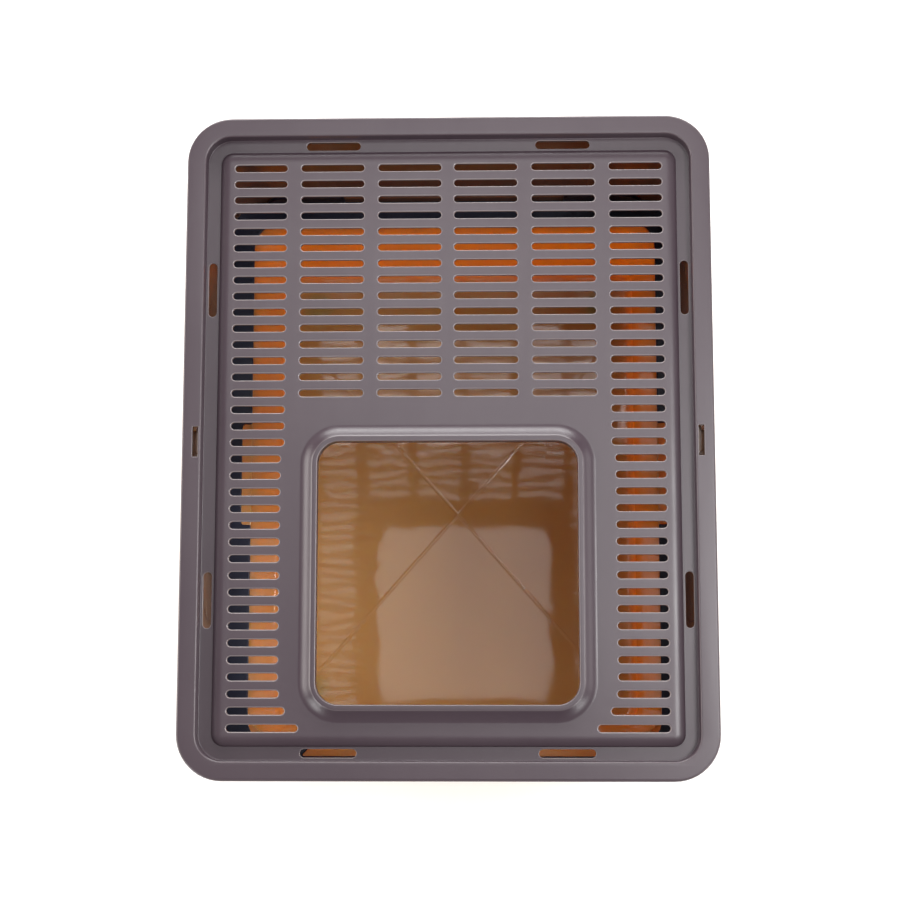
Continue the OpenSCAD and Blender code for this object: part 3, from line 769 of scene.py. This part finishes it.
# %% Close the lid
TAB_L = 38 * MM
TAB_H = 8 * MM
cap(lid, plate_out, [collar_rings[0]] + [rings[0] for rings in plate_holes])
cap(lid, under_plate_out, [collar_rings[-1]] + [rings[-1] for rings in plate_holes])
cap(lid, groove_out, [groove_in] + [rings[0] for rings in groove_holes])
cap(lid, under_groove_out, [under_groove_in] + [rings[-1] for rings in groove_holes])
cap(lid, flange_out, [flange_in] + [rings[0] for rings in flange_holes])
cap(lid, under_flange_out, [under_flange_in] + [rings[-1] for rings in flange_holes])
tab_top = lid_top - GROOVE_D - LID_T + 0.4 * MM
for side_x in (-1, 1):
    for side_y in (-1, 1):
        edge_y = side_y * (lid_half_y - channel - LID_T / 2)
        edge_x = side_x * (lid_half_x - channel - LID_T / 2)
        across = rect_outline(-TAB_L / 2, TAB_L / 2, -LID_T / 2, LID_T / 2, 0.6 * MM)
        for outline in (
            moved(across, side_x * WINDOW_X, edge_y),
            moved(turned(across), edge_x, side_y * WINDOW_Y),
        ):
            slab(lid, outline, tab_top - TAB_H, tab_top, 0.5 * MM, steps=2)
make_piece(lid, "lid", "lid", ["lid_tray"], lid_finish)

# %% [markdown]
# ## Outlines with soft corners
#
# The other pieces have outlines that are not plain rectangles: the notched opening of the ledge, the side
# view of a latch, the catch under the lid. Each is written as its corner points with a radius for each
# corner, the way a moulding is drawn, and one function turns that into points.


# %% Soft corners
def soft_corners(corners, steps=5):
    """Outline through (x, y, radius) corners, each rounded by its radius."""
    points = []
    count = len(corners)
    for i, (x, y, radius) in enumerate(corners):
        if radius <= 0:
            points.append((x, y))
            continue
        here = Vector((x, y))
        to_before = (Vector(corners[i - 1][:2]) - here).normalized()
        to_after = (Vector(corners[(i + 1) % count][:2]) - here).normalized()
        half = math.acos(max(-1, min(1, to_before.dot(to_after)))) / 2
        start = here + to_before * radius / math.tan(half)
        centre = here + (to_before + to_after).normalized() * radius / math.sin(half)
        arm = start - centre
        turn = math.pi - 2 * half
        cross = to_before.x * to_after.y - to_before.y * to_after.x
        if cross > 0:
            turn = -turn
        for j in range(steps + 1):
            spun = Matrix.Rotation(turn * j / steps, 2) @ arm
            points.append(tuple(centre + spun))
    return points


def circle(x, y, radius, steps=32):
    return [
        (x + radius * math.cos(2 * math.pi * i / steps), y + radius * math.sin(2 * math.pi * i / steps))
        for i in range(steps)
    ]


# Drawn x and y become X and Z, and the slab's thickness runs along Y
STAND_UP = Matrix(((1, 0, 0, 0), (0, 0, 1, 0), (0, 1, 0, 0), (0, 0, 0, 1)))
# Drawn x and y become Y and Z, and the slab's thickness runs along X
STAND_SIDEWAYS = Matrix(((0, 0, 1, 0), (1, 0, 0, 0), (0, 1, 0, 0), (0, 0, 0, 1)))
MIRROR_X = Matrix.Diagonal((-1, 1, 1, 1))
print("a soft square has", len(soft_corners([(0, 0, 0.1), (1, 0, 0.1), (1, 1, 0.1), (0, 1, 0.1)])), "points")

# %% [markdown]
# ## The wall
#
# The wall is a tall thin tube whose panels are pressed outwards by less than a millimetre to stiffen it. The
# panels show on both faces, so one height function moves the outer and the inner face alike. The grid is
# fine near the panel edges and coarse between them.

# %% Wall sizes
WALL_T = 2.5 * MM
WALL_R = 28 * MM
EMBOSS = 0.8 * MM
RAMP = 1.8 * MM
END_PANEL_HALF = 118 * MM
END_PANEL_R = 8 * MM
ARCH_HALF = 104 * MM
ARCH_R = 20 * MM
SIDE_PANEL_HALF = 134 * MM
SIDE_PANEL_R = 27 * MM

wall_in_x = lid_half_x - 6 * MM
wall_in_y = lid_half_y - 10.3 * MM
shell_low, shell_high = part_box("upper_shell")
ledge_z = shell_low.z
wall_top = shell_high.z
panel_low = ledge_z + 12 * MM
panel_high = lid_top - 27 * MM
side_panel_high = lid_top - 79 * MM
arch_high = lid_top - 138 * MM
print("wall from", round(ledge_z, 4), "to", round(wall_top, 4))


def inside_panel(t, z, half, low, high, radius):
    """1 well inside a panel and 0 outside it, with a soft ramp between."""
    dx = abs(t) - half + radius
    dz = abs(z - (low + high) / 2) - (high - low) / 2 + radius
    outside = math.hypot(max(dx, 0), max(dz, 0)) + min(max(dx, dz), 0) - radius
    s = max(0.0, min(1.0, -outside / RAMP))
    return s * s * (3 - 2 * s)


def emboss(on_end, t, z):
    if on_end:
        panel = inside_panel(t, z, END_PANEL_HALF, panel_low, panel_high, END_PANEL_R)
        return EMBOSS * (panel + inside_panel(t, z, ARCH_HALF, panel_low, arch_high, ARCH_R))
    return EMBOSS * inside_panel(t, z, SIDE_PANEL_HALF, panel_low, side_panel_high, SIDE_PANEL_R)


def graded(start, end, edges, fine=0.6 * MM, growth=0.3, coarse=12 * MM):
    """Values from start to end, close together near the edges."""
    values = [start]
    while values[-1] < end:
        here = values[-1]
        near = min(abs(here - e) for e in edges)
        values.append(here + max(fine, min(coarse, fine + growth * (near - 2 * fine))))
    stretch = (end - start) / (values[-1] - start)
    return [start + (v - start) * stretch for v in values]


# %% Wall columns and rows
end_run = wall_in_x - WALL_R
side_run = wall_in_y - WALL_R
end_columns = graded(-end_run, end_run, [-END_PANEL_HALF, -ARCH_HALF, ARCH_HALF, END_PANEL_HALF])
side_columns = graded(-side_run, side_run, [-SIDE_PANEL_HALF, SIDE_PANEL_HALF])
bead_low, bead_high = lid_top - 21.6 * MM, lid_top - 18.4 * MM
rows = graded(ledge_z + 0.6 * MM, bead_low - 0.6 * MM, [panel_low, arch_high, side_panel_high, panel_high])


def wall_ring(mesh, half_x, half_y, radius, z, pressed=True):
    """One level of the wall. All levels have the same columns."""
    points = []
    for side in range(4):
        on_end = side % 2 == 1
        run, out = (half_x - radius, half_y) if on_end else (half_y - radius, half_x)
        columns = end_columns if on_end else side_columns
        span = columns[-1]
        for t in columns[:-1]:
            push = emboss(on_end, t, z) if pressed else 0
            points.append((side, out + push, t * run / span))
        for i in range(CORNER_STEPS):
            angle = math.pi / 2 * i / CORNER_STEPS
            points.append((side, out - radius + radius * math.cos(angle), run + radius * math.sin(angle)))
    turned_points = []
    for side, out, along in points:
        x, y = ((out, along), (-along, out), (-out, -along), (along, -out))[side]
        turned_points.append((x, y, z))
    return ring(mesh, turned_points)


print("columns", 2 * len(end_columns) + 2 * len(side_columns), "rows", len(rows))

# %% [markdown]
# The outer face climbs from the foot of the wall to the bead under the lid's skirt and on to the rim inside
# the lid's channel. Then the skin turns over the top and comes down as the inner face. Small radii at every
# corner keep the plastic from looking like cut sheet.

# %% Build the wall
shell = bmesh.new()
WALL_EDGE = 0.6 * MM
FOOT_EDGE = 0.15 * MM
RIM_H = 6 * MM
RIM_IN = 2.9 * MM
BEAD_IN = 0.5 * MM
levels = [
    wall_ring(shell, wall_in_x + d, wall_in_y + d, WALL_R + d, z, False)
    for d, z in ((0.6 * MM, ledge_z), (WALL_T - 0.6 * MM, ledge_z), (WALL_T - 0.15 * MM, ledge_z + 0.15 * MM))
]
levels += [wall_ring(shell, wall_in_x + WALL_T, wall_in_y + WALL_T, WALL_R + WALL_T, z) for z in rows]


def stepped(out_x, out_y, out_r, low, high, edge, open_top=False):
    """Rings of a band that stands out of the wall, with rounded edges."""
    base = (wall_in_x + WALL_T, wall_in_y + WALL_T, WALL_R + WALL_T)
    span = (out_x - base[0], out_y - base[1], out_r - base[2])
    inset = edge / span[0]
    section = [(inset, low), (1 - inset, low), (1 - 0.3 * inset, low + 0.3 * edge), (1, low + edge)]
    section += [(1, high - edge), (1 - 0.3 * inset, high - 0.3 * edge), (1 - inset, high)]
    if not open_top:
        section.append((inset, high))
    made = []
    for f, z in section:
        sizes = [b + s * f for b, s in zip(base, span)]
        made.append(wall_ring(shell, *sizes, z, False))
    return made


bead_sizes = [size - BEAD_IN for size in (lid_half_x, lid_half_y, LID_CORNER_R)]
levels += stepped(*bead_sizes, bead_low, bead_high, WALL_EDGE)
levels += [
    wall_ring(shell, wall_in_x + WALL_T, wall_in_y + WALL_T, WALL_R + WALL_T, z)
    for z in (bead_high + 0.6 * MM, wall_top - RIM_H - 0.3 * MM)
]
rim_sizes = [size - RIM_IN for size in (lid_half_x, lid_half_y, LID_CORNER_R)]
levels += stepped(*rim_sizes, wall_top - RIM_H, wall_top, 0.25 * MM, True)
levels += [
    wall_ring(shell, wall_in_x + d, wall_in_y + d, WALL_R + d, z, False)
    for d, z in ((0.6 * MM, wall_top), (0.15 * MM, wall_top - 0.15 * MM), (0, wall_top - 0.6 * MM))
]
levels += [wall_ring(shell, wall_in_x, wall_in_y, WALL_R, z) for z in [bead_high] + rows[::-1]]
foot_sizes = [size + FOOT_EDGE for size in (wall_in_x, wall_in_y, WALL_R)]
levels.append(wall_ring(shell, *foot_sizes, ledge_z + FOOT_EDGE))
for level_a, level_b in zip(levels, levels[1:]):
    bridge(shell, level_a, level_b)
bridge(shell, levels[-1], levels[0])
print("wall skin:", len(shell.faces), "faces")

# %% [markdown]
# Each long wall carries two ears that hold the hinge pin of its latch, and a catch under the small window of
# the lid. The catch has a nose whose front end is cut at a slant, and the edge of that cut is the light
# diagonal line that shows in the window.

# %% Ears and catches of the wall
PIVOT_OUT = 8.4 * MM
PIVOT_UP = 33 * MM
BARREL_R = 5.2 * MM
PIN_R = 2 * MM
LATCH_W = 48 * MM
EAR_T = 5 * MM
CATCH_OUT = 5.6 * MM

wall_out_x = wall_in_x + WALL_T
pivot_x = wall_out_x + PIVOT_OUT
pivot_z = ledge_z + PIVOT_UP
ear_in = LATCH_W / 2 + 0.5 * MM
ear_root = wall_out_x - WALL_T / 2
ear = [(ear_root, pivot_z + BARREL_R + 1.5 * MM), (ear_root, pivot_z - BARREL_R - 1.5 * MM)]
ear += [(wall_out_x + 0.2 * MM, pivot_z - BARREL_R - 1.4 * MM), (wall_out_x + 1.4 * MM, pivot_z - BARREL_R)]
for i in range(17):
    angle = -math.pi / 2 + math.pi * i / 16
    ear.append((pivot_x + BARREL_R * math.cos(angle), pivot_z + BARREL_R * math.sin(angle)))
ear += [(wall_out_x + 1.4 * MM, pivot_z + BARREL_R), (wall_out_x + 0.2 * MM, pivot_z + BARREL_R + 1.4 * MM)]
catch_top = wall_top - 9 * MM
catch = soft_corners([
    (-10 * MM, catch_top - 14 * MM, 0.8 * MM),
    (10 * MM, catch_top - 14 * MM, 0.8 * MM),
    (10 * MM, catch_top - 2 * MM, 1.2 * MM),
    (-10 * MM, catch_top - 2 * MM, 1 * MM),
])
nose = soft_corners([
    (lid_half_x - 12.6 * MM, -10 * MM, 0.9 * MM),
    (lid_half_x - 8.2 * MM, -6 * MM, 0.9 * MM),
    (lid_half_x - 8.2 * MM, 1 * MM, 2 * MM),
    (lid_half_x - 9.6 * MM, 13 * MM, 0.9 * MM),
    (lid_half_x - 12.6 * MM, 13 * MM, 0.9 * MM),
])
for mirror in (Matrix.Identity(4), MIRROR_X):
    for y in (-ear_in - EAR_T, ear_in):
        bore = circle(pivot_x, pivot_z, PIN_R + 0.02 * MM)
        slab(shell, ear, y, y + EAR_T, 0.5 * MM, mirror @ STAND_UP, [bore])
    slab(shell, catch, wall_in_x - CATCH_OUT, ear_root, 0.7 * MM, mirror @ STAND_SIDEWAYS)
    slab(shell, nose, catch_top - 8 * MM, catch_top, 0.5 * MM, mirror)
make_piece(shell, "wall", "wall", ["upper_shell"], wall_finish)

# %% [markdown]
# ## The ledge ring
#
# Between wall and pan lies a dark ring. It is a flat ledge with a raised outer edge for the wall to stand
# in, a notch in the middle of each long side, a front part that is cut back to leave more of the pan open
# below the entry, and two rounded tabs that rise against the back wall. Through the slots of the lid the
# ring is the dark band at the foot of the walls.

# %% Build the ledge ring
LEDGE_W = 19 * MM
LEDGE_T = 4 * MM
LEDGE_R = 23 * MM
UPSTAND_H = 8 * MM
UPSTAND_T = 2.5 * MM
NOTCH_D = 8.5 * MM
NOTCH_HALF = 45 * MM
FRONT_CUT = 9 * MM
FRONT_BRIDGE = 1 * MM
FRONT_WINDOW_HALF = 133 * MM
FRONT_WINDOW_SLANT = 9 * MM

ledge = bmesh.new()
in_x, in_y = wall_in_x - LEDGE_W, wall_in_y - LEDGE_W
up_x, up_y, up_r = wall_out_x + 0.4 * MM, wall_in_y + WALL_T + 0.4 * MM, WALL_R + WALL_T + 0.4 * MM
front_y = in_y + FRONT_CUT
window_y = wall_in_y - FRONT_BRIDGE
opening = soft_corners([
    (in_x, in_y, LEDGE_R),
    (-in_x, in_y, LEDGE_R),
    (-in_x, NOTCH_HALF, 1 * MM),
    (-in_x - NOTCH_D, NOTCH_HALF, 3 * MM),
    (-in_x - NOTCH_D, -NOTCH_HALF, 3 * MM),
    (-in_x, -NOTCH_HALF, 1 * MM),
    (-in_x, -front_y, LEDGE_R),
    (FRONT_WINDOW_SLANT - FRONT_WINDOW_HALF, -front_y, 1 * MM),
    (-FRONT_WINDOW_HALF, -window_y, 1 * MM),
    (FRONT_WINDOW_HALF, -window_y, 1 * MM),
    (FRONT_WINDOW_HALF - FRONT_WINDOW_SLANT, -front_y, 1 * MM),
    (in_x, -front_y, LEDGE_R),
    (in_x, -NOTCH_HALF, 1 * MM),
    (in_x + NOTCH_D, -NOTCH_HALF, 3 * MM),
    (in_x + NOTCH_D, NOTCH_HALF, 3 * MM),
    (in_x, NOTCH_HALF, 1 * MM),
], steps=8)
opening_rings = hole(ledge, opening, ledge_z, ledge_z - LEDGE_T, 0.9 * MM, 0.4 * MM)
upstand_section = [
    (UPSTAND_T - 0.5 * MM, ledge_z - LEDGE_T),
    (UPSTAND_T - 0.15 * MM, ledge_z - LEDGE_T + 0.15 * MM),
    (UPSTAND_T, ledge_z - LEDGE_T + 0.5 * MM),
    (UPSTAND_T, ledge_z + UPSTAND_H - 0.8 * MM),
    (UPSTAND_T - 0.25 * MM, ledge_z + UPSTAND_H - 0.25 * MM),
    (UPSTAND_T - 0.8 * MM, ledge_z + UPSTAND_H),
    (0.8 * MM, ledge_z + UPSTAND_H),
    (0.25 * MM, ledge_z + UPSTAND_H - 0.25 * MM),
    (0, ledge_z + UPSTAND_H - 0.8 * MM),
    (0, ledge_z),
]
upstand_rings = [
    ring(ledge, round_loop(up_x + out, up_y + out, up_r + out, z)) for out, z in upstand_section
]
for ring_a, ring_b in zip(upstand_rings, upstand_rings[1:]):
    bridge(ledge, ring_a, ring_b)
cap(ledge, upstand_rings[-1], [opening_rings[0]])
cap(ledge, upstand_rings[0], [opening_rings[-1]])

TAB_NEAR, TAB_FAR, TAB_UP, TAB_T = 98 * MM, 168 * MM, 26 * MM, 3 * MM
ledge_tab = soft_corners([
    (TAB_NEAR, ledge_z - 1 * MM, 0),
    (TAB_FAR, ledge_z - 1 * MM, 0),
    (TAB_FAR, ledge_z + TAB_UP, 24 * MM),
    (TAB_NEAR, ledge_z + TAB_UP, 8 * MM),
], steps=10)
tab_face = wall_in_y - 0.4 * MM - TAB_T
for mirror in (Matrix.Identity(4), MIRROR_X):
    slab(ledge, ledge_tab, tab_face, tab_face + TAB_T, 0.8 * MM, mirror @ STAND_UP)
make_piece(ledge, "ledge", "wall", ["ledge_ring"], dark_finish)

# %% [markdown]
# ## The pan
#
# The pan is the part that holds the litter: walls that lean in a little towards the floor, a wide radius
# where they meet it, a rim that turns outwards and down, and two low ridges that cross on the floor. The
# ridges are pressed into the floor for stiffness, and their edges are soft.

# %% Build the pan
PAN_T = 2.5 * MM
TAPER = 9 * MM
FLOOR_R = 8 * MM
FOOT_UP = 3 * MM
FLOOR_T = 3 * MM
RIM_T = 3 * MM
LIP_H = 14 * MM

pan = bmesh.new()
rim_z = ledge_z - LEDGE_T
floor_z = FOOT_UP + FLOOR_T
core_x, core_y = in_x - LEDGE_R, in_y - LEDGE_R
lean = math.atan(TAPER / (rim_z - floor_z))
out_x, out_y, out_r = up_x + UPSTAND_T, up_y + UPSTAND_T, up_r + UPSTAND_T


def pan_ring(r, z):
    """Ring whose corner centres are those of the pan's wall."""
    return ring(pan, round_loop(core_x + r, core_y + r, r, z))


def rim_ring(inset, z):
    """Ring that follows the rim's outer edge."""
    return ring(pan, round_loop(out_x - inset, out_y - inset, out_r - inset, z))


foot_r = LEDGE_R - TAPER
bend = foot_r - FLOOR_R
inner = []
for i in range(9):
    angle = (math.pi / 2 - lean) * i / 8
    inner.append((bend + FLOOR_R * math.sin(angle), floor_z + FLOOR_R - FLOOR_R * math.cos(angle)))
inner.append((LEDGE_R - 0.03 * MM, rim_z - 0.8 * MM))
inner.append((LEDGE_R + 0.25 * MM, rim_z - 0.22 * MM))
inner.append((LEDGE_R + 0.8 * MM, rim_z))
pan_rings = [pan_ring(r, z) for r, z in inner]
pan_rings += [
    rim_ring(inset, z)
    for inset, z in (
        (0.8 * MM, rim_z),
        (0.25 * MM, rim_z - 0.25 * MM),
        (0, rim_z - 0.8 * MM),
        (0, rim_z - LIP_H + 0.6 * MM),
        (0.2 * MM, rim_z - LIP_H + 0.15 * MM),
        (0.6 * MM, rim_z - LIP_H),
        (PAN_T - 0.6 * MM, rim_z - LIP_H),
        (PAN_T - 0.15 * MM, rim_z - LIP_H + 0.2 * MM),
        (PAN_T, rim_z - LIP_H + 0.6 * MM),
        (PAN_T, rim_z - RIM_T - 0.8 * MM),
        (PAN_T + 0.8 * MM, rim_z - RIM_T),
    )
]
outer_top = LEDGE_R + PAN_T - TAPER * RIM_T / (rim_z - floor_z)
outer = [(outer_top + 1 * MM, rim_z - RIM_T), (outer_top - 0.1 * MM, rim_z - RIM_T - 1.2 * MM)]
for i in range(8, -1, -1):
    angle = (math.pi / 2 - lean) * i / 8
    r = FLOOR_R + PAN_T
    outer.append((bend + r * math.sin(angle), FOOT_UP + r - r * math.cos(angle)))
pan_rings += [pan_ring(r, z) for r, z in outer]
for ring_a, ring_b in zip(pan_rings, pan_rings[1:]):
    bridge(pan, ring_a, ring_b)
print("pan skin:", len(pan.faces), "faces")

# %% Floor, ridges, pockets and lugs of the pan
FOOT_R = 12 * MM
FOOT_INSET = 42 * MM
POCKET_D = 1 * MM
RIDGE_HALF = 2 * MM
RIDGE_H = 0.25 * MM
RIDGE_CROSS_Y = 21 * MM
RIDGE_SLANT = math.radians(48.5)
LUG_OUT = 3.2 * MM
LUG_HALF = 20 * MM

foot_x, foot_y = in_x - FOOT_INSET, in_y - FOOT_INSET
pockets = []
for side_x in (-1, 1):
    for side_y in (-1, 1):
        outline = circle(side_x * foot_x, side_y * foot_y, FOOT_R + 0.1 * MM, 48)
        low_ring = ring(pan, [(x, y, FOOT_UP) for x, y in outline])
        high_ring = ring(pan, [(x, y, FOOT_UP + POCKET_D) for x, y in outline])
        bridge(pan, low_ring, high_ring)
        cap(pan, high_ring)
        pockets.append(low_ring)
cap(pan, pan_rings[-1], pockets)

reach_x = in_x - TAPER - FLOOR_R - 14 * MM
reach_y = in_y - TAPER - FLOOR_R - 14 * MM
reach = min(reach_x / math.cos(RIDGE_SLANT), (reach_y - RIDGE_CROSS_Y) / math.sin(RIDGE_SLANT))
cross = []
for arm, after in (
    (RIDGE_SLANT, math.pi / 2),
    (math.pi - RIDGE_SLANT, math.pi),
    (math.pi + RIDGE_SLANT, -math.pi / 2),
    (-RIDGE_SLANT, 0),
):
    along = Vector((math.cos(arm), math.sin(arm)))
    aside = Vector((-along.y, along.x)) * RIDGE_HALF
    for j in range(9):
        angle = -math.pi / 2 + math.pi * j / 8
        tip = along * (reach - RIDGE_HALF + RIDGE_HALF * math.cos(angle)) + aside * math.sin(angle)
        cross.append((tip.x, tip.y - RIDGE_CROSS_Y))
    gap = abs((after - arm + math.pi) % (2 * math.pi) - math.pi)
    crotch = RIDGE_HALF / math.sin(gap)
    cross.append((crotch * math.cos(after), crotch * math.sin(after) - RIDGE_CROSS_Y))
ridge_rings = []
RIDGE_STEPS = 9
for i in range(RIDGE_STEPS + 1):
    t = i / RIDGE_STEPS
    up = RIDGE_H * t * t * (3 - 2 * t)
    ridge_rings.append(ring(pan, [(x, y, floor_z + up) for x, y in grown(cross, (0.1 - 1.8 * t) * MM)]))
for ring_a, ring_b in zip(ridge_rings, ridge_rings[1:]):
    bridge(pan, ring_a, ring_b)
cap(pan, ridge_rings[-1])
cap(pan, pan_rings[0], [ridge_rings[0]])

lug_low = rim_z - LIP_H + 2 * MM
lug = soft_corners([
    (out_x - 1.2 * MM, lug_low, 0),
    (out_x, lug_low, 0),
    (out_x + LUG_OUT, lug_low + LUG_OUT, 0.5 * MM),
    (out_x + LUG_OUT, lug_low + 9 * MM, 0.4 * MM),
    (out_x + LUG_OUT - 1 * MM, lug_low + 10 * MM, 0.4 * MM),
    (out_x - 1.2 * MM, lug_low + 10 * MM, 0),
], steps=3)
for mirror in (Matrix.Identity(4), MIRROR_X):
    slab(pan, lug, -LUG_HALF, LUG_HALF, 0.35 * MM, mirror @ STAND_UP)
make_piece(pan, "pan", "pan", ["litter_pan"], pan_finish)

# %% [markdown]
# ## Latches, pins and pads
#
# A latch is a short length of one outline: the barrel round its pin, the arm, the hook under the pan's lug
# and the finger tip that leans out. The pin is plain wire with a head, and the pads are turned discs with a
# soft edge.

# %% Build the latches
ARM_T = 3 * MM
HOOK_T = 3.7 * MM
arm_in = BARREL_R - ARM_T
tip_x = out_x + 0.4 * MM - pivot_x
hook_top = lug_low + 0.4 * MM - 0.5 * MM * math.sqrt(2) - pivot_z
hook_low = hook_top - HOOK_T
barrel_end = 2 * math.pi - math.acos(arm_in / BARREL_R)
profile = []
for i in range(29):
    angle = barrel_end * i / 28
    profile.append((BARREL_R * math.cos(angle), BARREL_R * math.sin(angle), 0))
profile += [
    (arm_in, hook_top + arm_in - tip_x, 1.2 * MM),
    (tip_x, hook_top, 0.5 * MM),
    (tip_x, hook_low, 0.5 * MM),
    (arm_in, hook_low - 1 * MM, 1.5 * MM),
    (arm_in + 5 * MM, hook_low - 14 * MM, 1.2 * MM),
    (arm_in + ARM_T + 5 * MM, hook_low - 14 * MM, 1.2 * MM),
    (arm_in + ARM_T, hook_low - 1 * MM, 3 * MM),
]
latch_outline = soft_corners(profile)
to_pivot = Matrix.Translation((pivot_x, 0, pivot_z))
for side, mirror, place_name in ((-1, MIRROR_X, "left"), (1, Matrix.Identity(4), "right")):
    latch = bmesh.new()
    bore = circle(0, 0, PIN_R + 0.06 * MM)
    slab(latch, latch_outline, -LATCH_W / 2, LATCH_W / 2, 0.45 * MM, mirror @ to_pivot @ STAND_UP, [bore])
    title = f"{place_name}_latch"
    make_piece(latch, title, title, [f"latch_{place_name}"], dark_finish)

# %% Build the pins
HEAD_R = 3.4 * MM
HEAD_T = 1.6 * MM
pin_end = ear_in + EAR_T
pin_profile = [
    (0, -pin_end - HEAD_T),
    (HEAD_R - 0.9 * MM, -pin_end - HEAD_T),
    (HEAD_R - 0.3 * MM, -pin_end - HEAD_T + 0.25 * MM),
    (HEAD_R, -pin_end - HEAD_T + 0.8 * MM),
    (HEAD_R, -pin_end - 0.2 * MM),
    (HEAD_R - 0.2 * MM, -pin_end),
    (PIN_R, -pin_end),
    (PIN_R, pin_end - 0.4 * MM),
    (PIN_R - 0.4 * MM, pin_end),
    (0, pin_end),
]
# Turns the axis of a turned shape from Z to Y
ALONG_Y = Matrix(((1, 0, 0, 0), (0, 0, 1, 0), (0, -1, 0, 0), (0, 0, 0, 1)))
for side, place_name in ((-1, "left"), (1, "right")):
    pin = bmesh.new()
    lathe(pin, pin_profile, Matrix.Translation((side * pivot_x, 0, pivot_z)) @ ALONG_Y)
    make_piece(pin, f"{place_name}_pin", "wall", [f"latch_pin_{place_name}"], steel_finish)

# %% Build the pads
pad_profile = [
    (0, 0),
    (FOOT_R - 1.0 * MM, 0),
    (FOOT_R - 0.3 * MM, 0.3 * MM),
    (FOOT_R, 1.0 * MM),
    (FOOT_R, FOOT_UP + POCKET_D),
    (0, FOOT_UP + POCKET_D),
]
for side_x, x_name in ((-1, "left"), (1, "right")):
    for side_y, y_name in ((-1, "front"), (1, "back")):
        pad = bmesh.new()
        lathe(pad, pad_profile, Matrix.Translation((side_x * foot_x, side_y * foot_y, 0)))
        make_piece(
            pad, f"{y_name}_{x_name}_pad", "pan", [f"foot_{y_name}_{x_name}"], rubber_finish
        )

# %% [markdown]
# ## Floor and light
#
# The photograph is a studio shot on white. Two soft lights hang overhead, the stronger one towards the back,
# so the back of the lid is lighter than the front and light reaches the inside through the slots. A small
# light hangs on the right. Panels behind, beside and in front of the box are mirrored in the collar as soft
# bands, and their light goes a little way into the amber plastic. The panel behind is strong, so the pan
# looks pale from that side.

# %% Floor
FLOOR_HALF = 6
floor_mesh = bmesh.new()
bmesh.ops.create_grid(floor_mesh, x_segments=1, y_segments=1, size=FLOOR_HALF)
floor_data = bpy.data.meshes.new("floor")
floor_mesh.to_mesh(floor_data)
floor_mesh.free()
floor = bpy.data.objects.new("floor", floor_data)
floor.location.z = -0.0002
bpy.context.scene.collection.objects.link(floor)
paper, _, paper_shader, _ = new_material("floor_paper")
paper_shader.inputs["Base Color"].default_value = (0.9, 0.9, 0.9, 1)
paper_shader.inputs["Roughness"].default_value = 0.8
paper_shader.inputs["Emission Color"].default_value = (1, 1, 1, 1)
paper_shader.inputs["Emission Strength"].default_value = 0.15
floor_data.materials.append(paper)
floor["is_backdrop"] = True
print("floor", 2 * FLOOR_HALF, "m wide")


# %% Lights
def softbox(name, position, aim, width, height, watts, colour=(1, 1, 1)):
    data = bpy.data.lights.new(name, "AREA")
    data.shape = "RECTANGLE"
    data.size, data.size_y = width, height
    data.energy = watts
    data.color = colour
    box = bpy.data.objects.new(name, data)
    box.location = position
    box.rotation_euler = (Vector(aim) - Vector(position)).to_track_quat("-Z", "Y").to_euler()
    bpy.context.scene.collection.objects.link(box)
    return box


softbox("overhead_front", (-0.03, 0.04, 2.3), (-0.03, 0.04, 0), 1.0, 0.65, 4.0)
softbox("overhead_back", (-0.03, 0.69, 2.3), (-0.03, 0.69, 0), 1.0, 0.65, 9.0)
softbox("key_right", (0.80, -0.07, 1.95), (0, -0.07, 0.2), 0.6, 0.6, 21)
softbox("back_panel", (0.0, 1.8, 0.9), (0, 0, 0.35), 2.0, 0.6, 50)
softbox("left_panel", (-1.8, 0.1, 0.9), (0, 0, 0.35), 1.6, 0.6, 25, (1.0, 0.95, 0.92))
softbox("right_panel", (1.8, 0.1, 0.9), (0, 0, 0.35), 1.6, 0.6, 9, (1.0, 0.96, 0.97))
softbox("front_left", (-1.4, -1.35, 0.85), (0, 0, 0.35), 0.7, 0.7, 12)
softbox("front_right", (1.4, -1.35, 0.85), (0, 0, 0.35), 0.7, 0.7, 12)
world = bpy.data.worlds.new("studio")
bpy.context.scene.world = world
world.use_nodes = True
world.node_tree.nodes["Background"].inputs["Color"].default_value = (1, 1, 1, 1)
world.node_tree.nodes["Background"].inputs["Strength"].default_value = 0.25
bpy.context.scene.view_settings.view_transform = "Standard"
print("lights:", len(bpy.data.lights))

# %% [markdown]
#
# Both boxes, of the construction and of the visual model, are printed, so that they can be compared after
# every change. The visual model must stay inside the box of the construction.

# %% Write the boxes and finish
new_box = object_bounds()
for title, corners in (("construction", cad_box), ("visual", new_box)):
    print(title, [[round(v * 1000, 2) for v in corner] for corner in corners])
